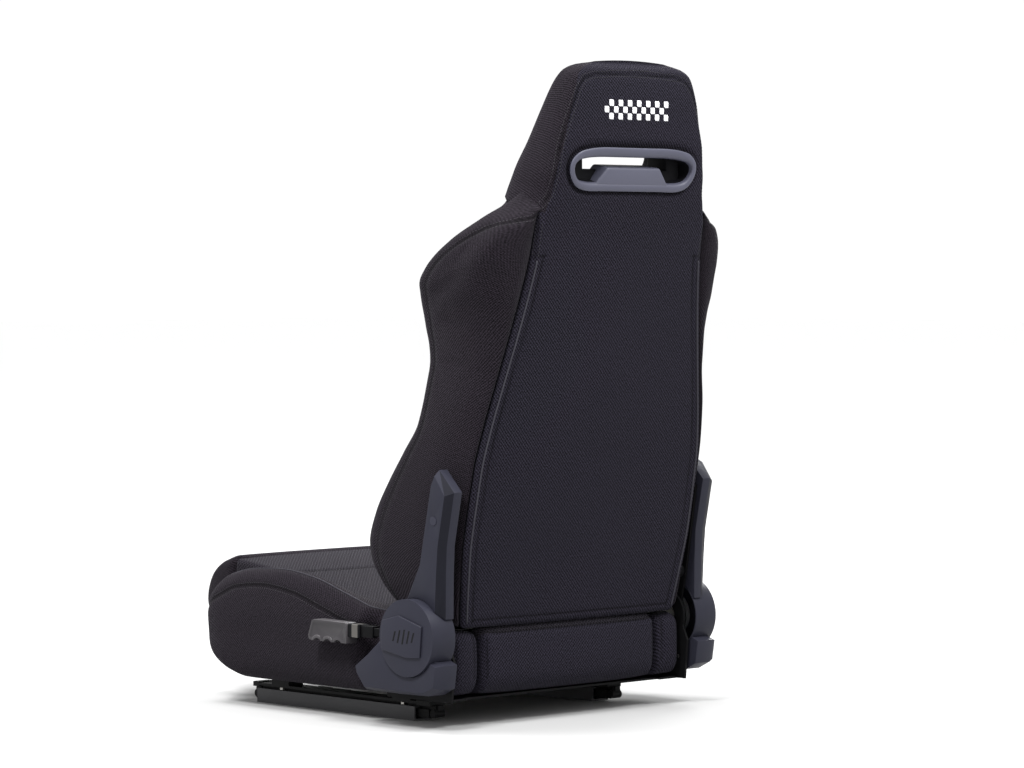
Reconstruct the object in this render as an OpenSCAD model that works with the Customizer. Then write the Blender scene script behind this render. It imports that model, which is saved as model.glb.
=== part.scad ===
// Reclining bucket seat on slider rails, in millimetres.
// X is across the seat, -Y is forward, Z is up from the underside of the lower rails.

/* [Overall size] */
// Backrest length from the recliner axis to the top of the head section
back_h = 865; // [720:5:1040]
// Width over the shoulder wings
shoulder_w = 498; // [415:1:598]
// Depth of the cushion from nose to rear face
cushion_d = 654; // [545:2:786]
// Lean of the backrest from upright at rest
back_lean = 10.5; // [6:0.5:16]

/* [Slider rails] */
// Length of each lower rail
rail_l = 362; // [320:2:440]
// Distance of a rail centre from the middle of the seat
rail_x = 190; // [176:1:204]
// Spacing of the floor bolts along a rail
bolt_pitch = 300; // [260:2:340]
// Height of the spacers that carry the seat pan
spacer_h = 10; // [8:0.5:20]
// Position of the seat over the middle of the rails
seat_y = -22; // [-34:1:-10]

/* [Recliner] */
// Radius of the round cap on the recliner axis
cap_r = 57.5; // [50:0.5:70]
// Height of the recliner axis above the floor
axis_z = 137; // [128:1:150]
// Radius of the hub that the backrest turns on
hub_r = 20; // [14:0.5:24]
// Radius of the rod that joins the two recliners
rod_r = 6; // [4:0.5:9]
// Length of the lever grip
grip_l = 86; // [70:1:110]

/* [Harness guide] */
// Half width of the guide's rear flange
guide_w = 134; // [110:1:140]
// Height of the guide's rear flange
guide_h = 64; // [54:1:72]

/* [Backrest frame] */
// Radius of the frame tube
tube_r = 11; // [8:0.5:12]

/* [Hidden] */
$fn = 48;
kx = shoulder_w / 498;
kd = cushion_d / 654;
kh = back_h / 865;
axis_y = 288 * kd + seat_y;
gap = 0.6;
pan_z = 30 + spacer_h;
foam_z = pan_z + 3.4;
plate_x = 248 * kx;
arm_x = plate_x + 5;
cover_x = plate_x + 10;
core_x = 150 * kx;
tube_x = core_x - 20;
rod_clear = 0.05;
bar_x = rail_x - 24;
heel = axis_y - seat_y - 46;
screw_z = axis_z - cap_r - 5.5;
head_z = 640 * kh;
slot_z = 707.5 * kh;

// ---------- helpers ----------

// Skins a stack of equal rings; caps are strips between opposite points.
module loft(rings) {
  n = len(rings[0]);
  m = len(rings);
  pts = [for (r = rings) each r];
  sides = [for (i = [0:m-2]) for (j = [0:n-1])
    [i*n + j, i*n + (j+1)%n, (i+1)*n + (j+1)%n, (i+1)*n + j]];
  low = [for (j = [0:n/2-2]) [j, n-1-j, n-2-j, j+1]];
  high = [for (j = [0:n/2-2]) [(m-1)*n + j, (m-1)*n + j+1, (m-1)*n + n-2-j, (m-1)*n + n-1-j]];
  tri = [for (q = concat(sides, low, high)) each [[q[2], q[1], q[0]], [q[3], q[2], q[0]]]];
  polyhedron(pts, tri);
}

// Same stack wound the other way round.
module loft_back(rings) {
  loft([for (i = [len(rings)-1:-1:0]) rings[i]]);
}

module both_sides() {
  children();
  mirror([1, 0, 0]) children();
}

module in_back() {
  translate([0, axis_y, axis_z]) rotate([-back_lean, 0, 0]) children();
}

module x_rod(r, x0, x1, y, z, f = 48) {
  translate([x0, y, z]) rotate([0, 90, 0]) cylinder(r = r, h = x1 - x0, $fn = f);
}

module along_y(len) {
  rotate([90, 0, 0]) linear_extrude(height = len, center = true) children();
}

// ---------- slider rails ----------

module lower_rails() {
  color([0.42, 0.43, 0.45])
  both_sides() translate([rail_x, 0, 0])
  difference() {
    along_y(rail_l)
      polygon([[-18, 0], [18, 0], [18, 22], [8, 22], [8, 19.5], [15, 19.5],
        [15, 3], [-15, 3], [-15, 19.5], [-8, 19.5], [-8, 22], [-18, 22]]);
    for (s = [-1, 1]) translate([0, s*bolt_pitch/2, -1]) cylinder(r = 4.25, h = 5);
  }
}

module upper_rails() {
  color([0.1, 0.1, 0.11])
  both_sides() translate([rail_x, 0, 0]) {
    difference() {
      along_y(rail_l)
        polygon([[-12, 8], [-3.5, 8], [-3.5, 26.5], [3.5, 26.5], [3.5, 8], [12, 8], [12, 10.5],
          [6, 10.5], [6, 26], [15, 26], [15, 30], [-15, 30], [-15, 26], [-6, 26], [-6, 10.5], [-12, 10.5]]);
      for (y = [-130, 148]) for (s = [-1, 1]) translate([s*10.6, y, 20])
        cylinder(r = 3.05, h = 14);
    }
    // ear that carries the release bar
    difference() {
      union() {
        translate([-22.5, -72, 17]) cube([3, 24, 13]);
        translate([-21, -72, 26.5]) cube([8, 24, 3.5]);
      }
      x_rod(3.05, -30, -10, -60, 23.5);
    }
  }
}

module ball_cages() {
  color([0.75, 0.73, 0.66])
  both_sides() translate([rail_x, 0, 0]) {
    along_y(120)
      polygon([[-14.1, 4.4], [14.1, 4.4], [14.1, 14], [12.9, 14], [12.9, 5.6], [-12.9, 5.6],
        [-12.9, 14], [-14.1, 14]]);
    for (s = [-1, 1]) for (y = [-48, -16, 16, 48]) translate([s*13.5, y, 9.25])
      sphere(r = 1.44, $fn = 24);
  }
}

module end_cap(len) {
  translate([-11, 0.3, 5.5]) cube([22, len*0.62, 13]);
  translate([-5, 0.3, 18]) cube([10, len, 7]);
  translate([-15, 0.3, 24]) cube([30, len*0.8, 7.5]);
  x_rod(6.4, -10, 10, len - 6.6, 12.5, 32);
  translate([-8, len - 14, 12]) cube([16, 12, 13]);
}

module rail_end_caps() {
  color([0.05, 0.05, 0.055])
  both_sides() {
    translate([rail_x, rail_l/2, 0]) end_cap(38);
    translate([rail_x, -rail_l/2, 0]) mirror([0, 1, 0]) end_cap(16);
  }
}

module rail_spacers() {
  color([0.06, 0.06, 0.065])
  both_sides() for (y = [-130, 148]) translate([rail_x, y, 30])
  difference() {
    translate([-15, -20, 0]) cube([30, 40, spacer_h]);
    for (s = [-1, 1]) translate([s*10.6, 0, -1]) cylinder(r = 3.05, h = spacer_h + 2);
  }
}

module pan_bolts() {
  color([0.6, 0.6, 0.62])
  both_sides() for (y = [-130, 148]) for (s = [-1, 1]) translate([rail_x + s*10.6, y, 0]) {
    translate([0, 0, 22.6]) cylinder(r = 4.2, h = 3.4, $fn = 6);
    translate([0, 0, 25]) cylinder(r = 3, h = pan_z - 25 + 2.8);
  }
}

// ---------- seat pan and recliner base ----------

module seat_pan() {
  color([0.09, 0.09, 0.1])
  difference() {
    translate([-208*kx, seat_y - 102*kd, pan_z]) cube([416*kx, 410*kd, 3]);
    for (y = [0, 85, 170]) for (x = [-110, 0, 110]) translate([x*kx, seat_y + y*kd, pan_z - 1])
      cylinder(r = 28*kx, h = 5);
    both_sides() for (y = [-130, 148]) for (s = [-1, 1]) translate([rail_x + s*10.6, y, pan_z - 1])
      cylinder(r = 3.05, h = 5);
    for (y = [-75, 260]) for (x = [-60, 0, 60]) translate([x*kx, seat_y + y*kd, pan_z - 1])
      cylinder(r = 9*kx, h = 5);
  }
  // front bolt lugs
  color([0.09, 0.09, 0.1])
  both_sides() difference() {
    translate([rail_x - 15, -150, pan_z]) cube([30, 152 + seat_y - 102*kd, 3]);
    for (s = [-1, 1]) translate([rail_x + s*10.6, -130, pan_z - 1]) cylinder(r = 3.05, h = 5);
  }
}

module side_plates() {
  color([0.13, 0.13, 0.14])
  both_sides() {
    difference() {
      translate([plate_x, 0, 0]) rotate([90, 0, 90]) linear_extrude(height = 4) union() {
        polygon([[axis_y - 98, pan_z], [axis_y + 42, pan_z], [axis_y + 47, axis_z - 36],
          [axis_y + 36, axis_z - 12], [axis_y - 36, axis_z - 12], [axis_y - 98, pan_z + 48]]);
        translate([axis_y, axis_z]) circle(r = hub_r + 20);
      }
      x_rod(hub_r, plate_x - 1, plate_x + 5, axis_y, axis_z);
      for (y = [axis_y - 70, axis_y + 28]) x_rod(3.05, plate_x - 1, plate_x + 5, y, screw_z);
    }
    translate([208.4*kx, axis_y - 93, pan_z]) cube([plate_x - 208.4*kx + 2, 120, 3]);
  }
}

module recliner_hubs() {
  color([0.5, 0.5, 0.52])
  both_sides() difference() {
    union() {
      x_rod(hub_r - 0.05, plate_x - 0.5, cover_x + 3, axis_y, axis_z, 64);
      x_rod(hub_r + 5, plate_x + 9.3, cover_x + 3, axis_y, axis_z, 64);
    }
    x_rod(rod_r + rod_clear, plate_x - 2, cover_x + 5, axis_y, axis_z);
  }
}

function spiral(r0, r1, turns, t, n) = concat(
  [for (i = [0:n]) let (a = 360*turns*i/n, r = r0 + (r1 - r0)*i/n) [r*cos(a), r*sin(a)]],
  [for (i = [n:-1:0]) let (a = 360*turns*i/n, r = r0 + t + (r1 - r0)*i/n) [r*cos(a), r*sin(a)]]);

module recliner_springs() {
  color([0.3, 0.3, 0.33])
  both_sides() translate([cover_x + 3.6, axis_y, axis_z]) rotate([90, 0, 90])
    linear_extrude(height = 6) polygon(spiral(13, 36, 3.5, 2.4, 84));
}

module sync_rod() {
  color([0.55, 0.55, 0.57])
  x_rod(rod_r, -cover_x - 8, cover_x + 33, axis_y, axis_z, 64);
}

module rod_clips() {
  color([0.2, 0.2, 0.21])
  both_sides() difference() {
    x_rod(rod_r + 4, cover_x + 4, cover_x + 6, axis_y, axis_z);
    x_rod(rod_r + rod_clear, cover_x + 3, cover_x + 7, axis_y, axis_z);
  }
}

lever_x = cover_x + 26;
grip_y = axis_y - 138;

module lever_arm() {
  color([0.05, 0.05, 0.055])
  difference() {
    union() {
      x_rod(15, lever_x, lever_x + 6, axis_y, axis_z);
      translate([lever_x, grip_y + 27, axis_z - 4]) cube([6, axis_y - grip_y - 29, 12]);
      translate([lever_x - 3, grip_y + 27, axis_z - 6.5]) cube([12, 26, 17]);
      translate([lever_x - 1, grip_y + 0.6, axis_z - 3]) cube([8, 28, 10]);
    }
    x_rod(rod_r + rod_clear, lever_x - 5, lever_x + 12, axis_y, axis_z);
  }
}

module lever_ferrule() {
  color([0.62, 0.6, 0.56])
  difference() {
    translate([lever_x - 6, grip_y + 0.4, axis_z - 8]) cube([18, 26, 20]);
    translate([lever_x - 1.1, grip_y - 1, axis_z - 3.1]) cube([8.2, 40, 10.2]);
  }
}

module lever_grip() {
  g = grip_l;
  color([0.16, 0.16, 0.165])
  translate([lever_x + 3 - 11, grip_y, axis_z]) rotate([90, 0, 90]) linear_extrude(height = 22)
    difference() {
      polygon([[0, -18], [0, 10], [-3, 13], [-g + 12, 14], [-g + 8, 12], [-g, -10], [-g + 1, -16],
        [-g + 8, -18]]);
      for (i = [0:2]) translate([-20 - i*g*0.27, -24.6]) circle(r = 10.5, $fn = 32);
    }
}

// ---------- plastic covers at the recliner ----------

module base_cover() {
  a = [[-121, -53], [-118, -62], [-101, -84], [-28, -85], [34, -84], [56, -73]];
  b = [[61, -38], [34, -27], [-28, -19], [-66, -5], [-92, -27], [-121, -49]];
  difference() {
    loft([for (x = [[cover_x, 0], [cover_x + 32, 0], [cover_x + 42, 1]])
      [for (p = concat(a, b))
        [x[0], axis_y + p[0]*(1 - 0.05*x[1]), axis_z - 48 + (p[1] + 48)*(1 - 0.14*x[1])]]]);
    x_rod(cap_r + 0.8, cover_x - 1, cover_x + 60, axis_y, axis_z, 96);
    for (y = [axis_y - 70, axis_y + 28]) x_rod(3.05, cover_x - 1, cover_x + 24, y, screw_z);
  }
}

module base_cover_left() {
  color([0.22, 0.235, 0.26]) base_cover();
}

module base_cover_right() {
  color([0.22, 0.235, 0.26]) mirror([1, 0, 0]) base_cover();
}

module cover_screws() {
  color([0.45, 0.45, 0.47])
  both_sides() for (y = [axis_y - 70, axis_y + 28]) {
    x_rod(3, plate_x, cover_x + 22, y, screw_z, 32);
  }
}

module hub_cap(slot) {
  difference() {
    union() {
      difference() {
        x_rod(cap_r, cover_x + 0.4, cover_x + 46, axis_y, axis_z, 96);
        x_rod(cap_r - 3, cover_x - 1, cover_x + 40, axis_y, axis_z, 96);
      }
      difference() {
        x_rod(12, cover_x + 34.6, cover_x + 42, axis_y, axis_z);
        x_rod(rod_r + 0.6, cover_x + 30, cover_x + 39, axis_y, axis_z);
      }
    }
    if (slot > 0) translate([cover_x + 22, axis_y, axis_z]) rotate([90, 0, 90])
      linear_extrude(height = 14) polygon([[-20, -14], [-70, -14], [-70, 46], [-42, 46]]);
  }
}

module hub_cap_left() {
  color([0.2, 0.213, 0.235]) hub_cap(1);
}

module hub_cap_right() {
  color([0.2, 0.213, 0.235]) mirror([1, 0, 0]) hub_cap(0);
}

module cap_badges() {
  color([0.24, 0.255, 0.28])
  both_sides() translate([cover_x + 46.1, axis_y, axis_z]) rotate([90, 0, 90])
    linear_extrude(height = 3.6)
    polygon([[-49, 24], [-14, 33], [36, 19], [32, -27], [4, -29], [-51, -20]]);
}

function arm_outline(k) = [for (p = [[-42, 38], [-16 , 105], [-13, 234], [-6, 251],
  [31, 225], [30, 144], [36, 101], [47, 38]]) [10 + (p[0] - 10)*(1 - 0.3*k),
    140 + (p[1] - 140)*(1 - 0.07*k)]];

module arm_cover() {
  difference() {
    in_back() loft([for (x = [[cover_x, 0], [cover_x + 16, 0], [cover_x + 29, 1]])
      [for (p = arm_outline(x[1])) [x[0], p[0], p[1]*kh]]]);
    x_rod(cap_r + 0.8, cover_x - 1, cover_x + 60, axis_y, axis_z, 96);
    in_back() x_rod(7, cover_x + 24, cover_x + 40, 8, 178*kh);
  }
}

module arm_cover_left() {
  color([0.22, 0.235, 0.26]) arm_cover();
}

module arm_cover_right() {
  color([0.22, 0.235, 0.26]) mirror([1, 0, 0]) arm_cover();
}

module arm_plugs() {
  color([0.18, 0.19, 0.21])
  both_sides() in_back() x_rod(6.8, cover_x + 24.3, cover_x + 29.6, 8, 178*kh);
}

// ---------- release bar under the cushion ----------

module towel_bar() {
  color([0.66, 0.66, 0.67])
  union() {
    x_rod(4, -bar_x, bar_x, -207, 23.5);
    both_sides() {
      translate([bar_x, -207, 23.5]) sphere(r = 4);
      translate([bar_x, -207, 23.5]) rotate([-90, 0, 0]) cylinder(r = 4, h = 134);
      translate([bar_x - 3.5, -84, 17.5]) cube([4.4, 34, 12]);
    }
  }
}

module towel_bar_pins() {
  color([0.5, 0.5, 0.52])
  both_sides() x_rod(3, bar_x + 1, rail_x - 18.6, -60, 23.5);
}

module latch_levers() {
  color([0.35, 0.35, 0.37])
  both_sides() translate([bar_x - 7.1, -71, 16]) cube([3.5, 55, 12]);
}

// ---------- cushion ----------

function seat_top(y) = lookup(y, [[-250, 222], [-180, 214], [-80, 199], [20, 183], [110, 170],
  [200, 160], [272, 152]]);

module cushion_centre() {
  top = concat([for (y = [-236, -200, -150, -80, -10, 60, 130, 180, 216]) [y*kd, seat_top(y)]],
    [[heel + 20, seat_top(262)]]);
  low = [[heel + 20, axis_z - 8], [heel - 2, axis_z - 8], [heel - 2, foam_z], [130*kd, foam_z],
    [60*kd, foam_z], [-10*kd, foam_z],
    [-80*kd, foam_z], [-128*kd, foam_z], [-190*kd, foam_z + 20], [-236*kd, foam_z + 34]];
  color([0.07, 0.07, 0.08])
  translate([0, seat_y, 0]) loft([for (x = [-188, -182, -120, 0, 120, 182, 188])
    [for (p = concat(top, low)) [x*kx, p[0], p[1] - (abs(x) > 185 && p[1] > axis_z ? 3 : 0)]]]);
}

module cushion_front_roll() {
  nose = [[-237, 222], [-262, 218], [-283, 208], [-298, 194], [-307, 178], [-312, 160],
    [-312, 146], [-306, 130], [-298, 116], [-284, 100], [-262, 88], [-237, 78]];
  color([0.07, 0.07, 0.08])
  translate([0, seat_y, 0]) loft_back([for (x = [-188, -183, -150, -75, 0, 75, 150, 183, 188])
    [for (p = nose) let (b = 1 + 0.13*(1 - pow(x/188, 2)) - (abs(x) > 185 ? 0.1 : 0))
      [x*kx, (-237 + (p[0] + 237)*b)*kd, 150 + (p[1] - 150)*(abs(x) > 185 ? 0.95 : 1)]]]);
}

function bol_top(y) = lookup(y, [[-228, 140], [-222, 158], [-205, 183], [-175, 202], [-115, 214], [-56,
  216],
  [14, 208], [94, 186], [172, 164], [238, 152]]);
function bol_low(y) = lookup(y, [[-228, 112], [-222, 88], [-205, 69], [-165, 50], [-135, foam_z],
  [238, foam_z]]);
function bol_seam(y) = lookup(y, [[-228, 132], [-205, 158], [-175, 172], [-139, 186], [-75, 192], [-9, 185],
  [60, 165], [127, 146], [238, 132]]);

module bolster_shape() {
  ys = [-228, -222, -205, -175, -130, -90, -50, 0, 50, 94, 130, 165, 200, 238];
  translate([0, seat_y, 0]) difference() {
    loft_back([for (y = ys)
      let (t = bol_top(y), b = bol_low(y), s = bol_seam(y), i = min(t - 2, seat_top(y) + 4),
        w = y < -225 ? 0.72 : y < -215 ? 0.86 : y < -200 ? 0.96 : 1)
      [for (p = [[191, b], [222, b], [250, b + 1], [262, b + 8], [269, b + (s - b)*0.5], [270, s],
        [264, s + (t - s)*0.6], [248, t], [232, t - 1], [215, (t + i)/2], [202, i], [191, i - 2]])
        [(191 + (p[0] - 191)*w)*kx, y == 238 ? heel - 4 : y*kd, p[1]]]]);
    translate([plate_x - 1, axis_y - seat_y - 122, 0]) cube([60, 140, 300]);
  }
}

module cushion_bolster_left() {
  color([0.075, 0.07, 0.07]) bolster_shape();
}

module cushion_bolster_right() {
  color([0.075, 0.07, 0.07]) mirror([1, 0, 0]) bolster_shape();
}

// Side profile shared by the three rear cushion pieces.
function rear_ring(x, d, top) = [for (p = [[-46, foam_z + 6], [20, foam_z + 6],
    [33 - d, foam_z + 12], [42 - d, foam_z + 32], [42 - d, top - 46], [41 - d, top - 11], [34 - d,
      top - 3], [20, top - 1], [10.5, top - 2], [10, axis_z - 11],
    [-20, axis_z - 11], [-46, axis_z - 11]]) [x, axis_y + p[0], p[1]]];

module cushion_rear_block() {
  color([0.07, 0.07, 0.08])
  loft([for (q = [[-184, 6], [-178, 1], [-90, 0], [0, -1], [90, 0], [178, 1], [184, 6]])
    rear_ring(q[0]*kx, q[1], 147 - max(0, q[1]))]);
}

module rear_end() {
  loft([for (q = [[189, 10], [195, 6], [216, 4], [238, 7], [246, 14]])
    rear_ring(q[0]*kx, q[1], 146 - q[1]*0.6)]);
}

module cushion_rear_end_left() {
  color([0.075, 0.07, 0.07]) rear_end();
}

module cushion_rear_end_right() {
  color([0.075, 0.07, 0.07]) mirror([1, 0, 0]) rear_end();
}

// ---------- backrest, in its own leaning frame ----------

function half_w(z) = lookup(z, [[18, 238], [60, 244], [150, 246], [250, 247], [344, 243], [407, 234],
  [454, 233], [485, 238],
  [517, 247], [556, 249], [580, 245], [618, 226], [651, 189], [668, 172]]);
function crest(z) = lookup(z, [[18, -104], [32, -130], [52, -157], [77, -180], [106, -189], [146,
  -182], [196, -162],
  [248, -136], [299, -113], [347, -109], [380, -111], [414, -121], [441, -135], [476, -149], [498, -152],
  [527, -139], [577, -94], [620, -48], [645, -26], [668, -12]]);
function pad_y(z) = lookup(z, [[18, -48], [200, -62], [400, -50], [550, -60], [625, -74], [640, -66],
  [668, -46]]);
function panel_x(z) = lookup(z, [[18, 226], [79, 233], [155, 239], [256, 237], [316, 229], [385, 215],
  [465, 198],
  [524, 187], [572, 180], [640, 176]]);
function rear_y(z) = lookup(z, [[18, 36], [600, 37], [677, 40], [739, 38], [780, 33], [812, 28], [840,
  21], [856, 14], [862, 8]]);

module back_bolster() {
  zs = [18, 32, 52, 77, 106, 146, 196, 248, 299, 347, 380, 414, 441, 476, 498, 527, 556, 577, 600, 620,
    645, 666];
  difference() {
    in_back() loft_back([for (z = zs)
      let (w = half_w(z) - 150.6, f = crest(z), d = 36 - f, c = pad_y(z))
      [for (p = [[0, 35.5], [0.6, 35.5], [0.88, 31], [0.96, 36 - 0.17*d], [1, 36 - 0.38*d], [1, 36 - 0.6*d],
        [0.96, 36 - 0.82*d], [0.88, f + 0.05*d], [0.74, f], [0.58, f + 0.05*d], [0.25, (f + c)/2 + 4],
          [0, c + 4]])
        [(150.6 + w*p[0])*kx, p[1], z*kh]]]);
    in_back() loft_back([for (z = [10, 79, 155, 256, 316, 385, 465, 524, 572, 640])
      [for (p = [[-1, 25.4], [-1, 60], [1, 60], [1, 25.4]]) [p[0]*(panel_x(z) + gap)*kx, p[1],
        z*kh + (z == 640 ? gap : 0)]]]);
    in_back() x_rod(tube_r + 0.5, core_x, plate_x + 20, 13, 75*kh);
  }
}

module back_bolster_left() {
  color([0.08, 0.07, 0.068]) back_bolster();
}

module back_bolster_right() {
  color([0.08, 0.07, 0.068]) mirror([1, 0, 0]) back_bolster();
}

module rear_panel() {
  color([0.085, 0.085, 0.095])
  in_back() loft_back([for (z = [20, 79, 155, 256, 316, 385, 465, 524, 572, 640])
    let (w = panel_x(z)*kx, h = z == 640 ? head_z - 0.4 : z*kh)
    [[-w, 26, h], [-w + 3, 37, h], [w - 3, 37, h], [w, 26, h]]]);
}

module back_pad(z0, z1, zs) {
  w = core_x - 0.2;
  in_back() loft_back([for (z = zs) let (c = pad_y(z), e = z == z0 || z == z1 ? 0.9 : 1)
    [[-w, -0.6, z*kh], [w, -0.6, z*kh], [w, c*e + 8, z*kh], [w*0.7, c*e + 1, z*kh], [-w*0.7, c*e + 1, z*kh],
      [-w, c*e + 8, z*kh]]]);
}

module back_pad_lower() {
  color([0.07, 0.07, 0.08]) back_pad(22, 330, [22, 40, 120, 200, 270, 315, 330]);
}

module back_pad_upper() {
  color([0.07, 0.07, 0.08]) back_pad(331, 638, [331, 346, 400, 470, 550, 610, 638]);
}

module back_brackets() {
  color([0.13, 0.13, 0.14])
  both_sides() difference() {
    translate([arm_x, axis_y, axis_z]) rotate([-back_lean, 0, 0]) rotate([90, 0, 90])
      linear_extrude(height = 4) union() {
        circle(r = hub_r + 12);
        polygon([[-22, 8], [24, 8], [26, 75*kh], [22, 212*kh], [-4, 212*kh], [-8, 75*kh]]);
      }
    x_rod(hub_r, arm_x - 1, arm_x + 5, axis_y, axis_z);
  }
}

module back_frame() {
  color([0.12, 0.12, 0.13])
  in_back() {
    x_rod(tube_r, -arm_x + 0.1, arm_x - 0.1, 13, 75*kh);
    x_rod(tube_r, -tube_x, tube_x, 13, 600*kh);
    x_rod(tube_r*0.7, -tube_x, tube_x, 13, 350*kh);
    both_sides() {
      translate([tube_x, 13, 75*kh]) cylinder(r = tube_r, h = 525*kh);
      translate([tube_x, 13, 600*kh]) sphere(r = tube_r, $fn = 32);
    }
  }
}

module back_springs() {
  color([0.4, 0.4, 0.42])
  in_back() for (z = [140, 190, 240, 290, 410, 460, 510, 560])
    x_rod(1.6, -tube_x + tube_r + 0.4, tube_x - tube_r - 0.4, 13, z*kh, 24);
}

// ---------- head section and harness guide ----------

function head_w(z) = lookup(z, [[640, 149.6], [667, 149.6], [672, 168], [692, 166], [737, 156], [781,
  145], [826, 132],
  [845, 124], [856, 108], [862, 84]]);
function head_front(z) = lookup(z, [[640, -68], [661, -66], [692, -60], [737, -48], [781, -40], [826,
  -31], [845, -22],
  [856, -12], [862, -3]]);

module slot_shape(w, h, y0, y1) {
  translate([0, y1, slot_z]) rotate([90, 0, 0]) linear_extrude(height = y1 - y0)
    polygon([[-w + h*0.35, -h/2], [w - h*0.35, -h/2], [w, -h*0.1], [w, h*0.12], [w - h*0.45, h/2],
      [-w + h*0.45, h/2], [-w, h*0.12], [-w, -h*0.1]]);
}

module head_pad() {
  color([0.08, 0.072, 0.07])
  in_back() difference() {
    loft_back([for (z = [640.5, 661, 667, 672, 692, 715, 737, 760, 781, 804, 826, 845, 856, 862])
      let (w = head_w(z)*kx, f = head_front(z), r = rear_y(z), d = r - f,
        h = z == 640.5 ? head_z + 0.5 : z*kh)
      [[-w*0.86, r, h], [w*0.86, r, h], [w*0.96, r - 0.07*d, h], [w, r - 0.25*d, h], [w, r - 0.75*d, h],
        [w*0.93, f + 0.08*d, h], [w*0.75, f, h], [-w*0.75, f, h], [-w*0.93, f + 0.08*d, h],
        [-w, r - 0.75*d, h], [-w, r - 0.25*d, h], [-w*0.96, r - 0.07*d, h]]]);
    slot_shape((guide_w - 10)*kx, guide_h - 10, -120, 80);
  }
}

module harness_guide_rear() {
  color([0.2, 0.213, 0.235])
  in_back() {
    difference() {
      union() {
        slot_shape(guide_w*kx, guide_h, 40.2, 43);
        slot_shape((guide_w - 10.6)*kx, guide_h - 11.2, -8, 41);
      }
      slot_shape((guide_w - 24)*kx, guide_h - 22, -20, 60);
    }
    translate([0, 30, slot_z - guide_h/2 + 10]) rotate([90, 0, 0]) linear_extrude(height = 24)
      polygon([[-78*kx, 0], [78*kx, 0], [66*kx, 16], [-66*kx, 16]]);
  }
}

module harness_guide_front() {
  color([0.2, 0.213, 0.235])
  in_back() difference() {
    union() {
      slot_shape((guide_w - 10.6)*kx, guide_h - 11.2, -67, -8.4);
      slot_shape((guide_w - 10.3)*kx, guide_h - 10.6, -67, -60);
    }
    slot_shape((guide_w - 24)*kx, guide_h - 22, -90, 0);
  }
}

module head_emblem() {
  color([0.85, 0.85, 0.83])
  in_back() loft_back([for (z = [780, 796, 812]) let (r = rear_y(z))
    [[-68*kx, r + 0.1, z*kh], [-68*kx, r + 0.9, z*kh], [68*kx, r + 0.9, z*kh], [68*kx, r + 0.1, z*kh]]]);
}

module back_welts() {
  color([0.12, 0.12, 0.13])
  both_sides() in_back() loft_back([for (z = [40, 79, 155, 256, 316, 385, 465, 524, 572, 630])
    let (x = (panel_x(z) - 6)*kx)
    [[x - 1.8, 37.2, z*kh], [x - 1.8, 39.4, z*kh], [x - 0.8, 40.4, z*kh], [x + 0.8, 40.4, z*kh],
      [x + 1.8, 39.4, z*kh], [x + 1.8, 37.2, z*kh]]]);
}

lower_rails();
upper_rails();
ball_cages();
rail_end_caps();
rail_spacers();
pan_bolts();
seat_pan();
side_plates();
recliner_hubs();
recliner_springs();
sync_rod();
lever_arm();
lever_ferrule();
lever_grip();
base_cover_left();
base_cover_right();
hub_cap_left();
hub_cap_right();
cap_badges();
towel_bar();
towel_bar_pins();
latch_levers();
cushion_centre();
cushion_front_roll();
cushion_bolster_left();
cushion_bolster_right();
cushion_rear_block();
cushion_rear_end_left();
cushion_rear_end_right();
back_brackets();
back_frame();
back_springs();
arm_cover_left();
arm_cover_right();
arm_plugs();
rear_panel();
back_pad_lower();
back_pad_upper();
back_bolster_left();
back_bolster_right();
head_pad();
harness_guide_rear();
harness_guide_front();
head_emblem();
back_welts();
rod_clips();
cover_screws();
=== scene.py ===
"""Reclining bucket seat: upholstery, covers, lever, guide, finishes and stage round the fixed frame."""

import math

import bmesh
import bpy
import numpy as np
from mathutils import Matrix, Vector
from mathutils.bvhtree import BVHTree


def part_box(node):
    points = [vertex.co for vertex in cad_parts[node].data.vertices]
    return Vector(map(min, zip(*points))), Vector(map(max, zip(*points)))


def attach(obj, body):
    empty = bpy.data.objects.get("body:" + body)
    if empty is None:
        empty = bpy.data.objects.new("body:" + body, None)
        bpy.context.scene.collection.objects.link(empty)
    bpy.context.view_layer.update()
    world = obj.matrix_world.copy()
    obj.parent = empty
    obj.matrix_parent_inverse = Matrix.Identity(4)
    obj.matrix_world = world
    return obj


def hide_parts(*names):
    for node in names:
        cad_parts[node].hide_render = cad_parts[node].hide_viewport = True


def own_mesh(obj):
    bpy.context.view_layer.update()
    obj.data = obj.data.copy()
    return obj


bl_info = {
    "name": "Reclining Bucket Seat",
    "version": (1, 0, 0),
    "blender": (4, 5, 0),
    "location": "View3D > Sidebar > Seat",
    "description": "Upholstery, covers and finishes of a reclining bucket seat",
    "category": "Object",
}

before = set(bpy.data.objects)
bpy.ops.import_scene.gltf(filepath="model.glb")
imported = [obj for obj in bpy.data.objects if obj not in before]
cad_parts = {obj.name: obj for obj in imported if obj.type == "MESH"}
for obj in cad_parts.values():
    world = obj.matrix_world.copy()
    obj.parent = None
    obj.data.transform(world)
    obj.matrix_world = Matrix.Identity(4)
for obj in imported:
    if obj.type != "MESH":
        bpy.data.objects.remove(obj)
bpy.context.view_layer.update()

MM = 0.001
ROD_LO, ROD_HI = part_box("sync_rod")
AXIS_Y = (ROD_LO.y + ROD_HI.y) / 2 / MM
AXIS_Z = (ROD_LO.z + ROD_HI.z) / 2 / MM
SEAT_Y = AXIS_Y - 288
LEAN = math.radians(10.5)
SLOT_Z = 707.5
PIECES = {}
SEAMS = {}


# ---------- settings ----------


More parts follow.
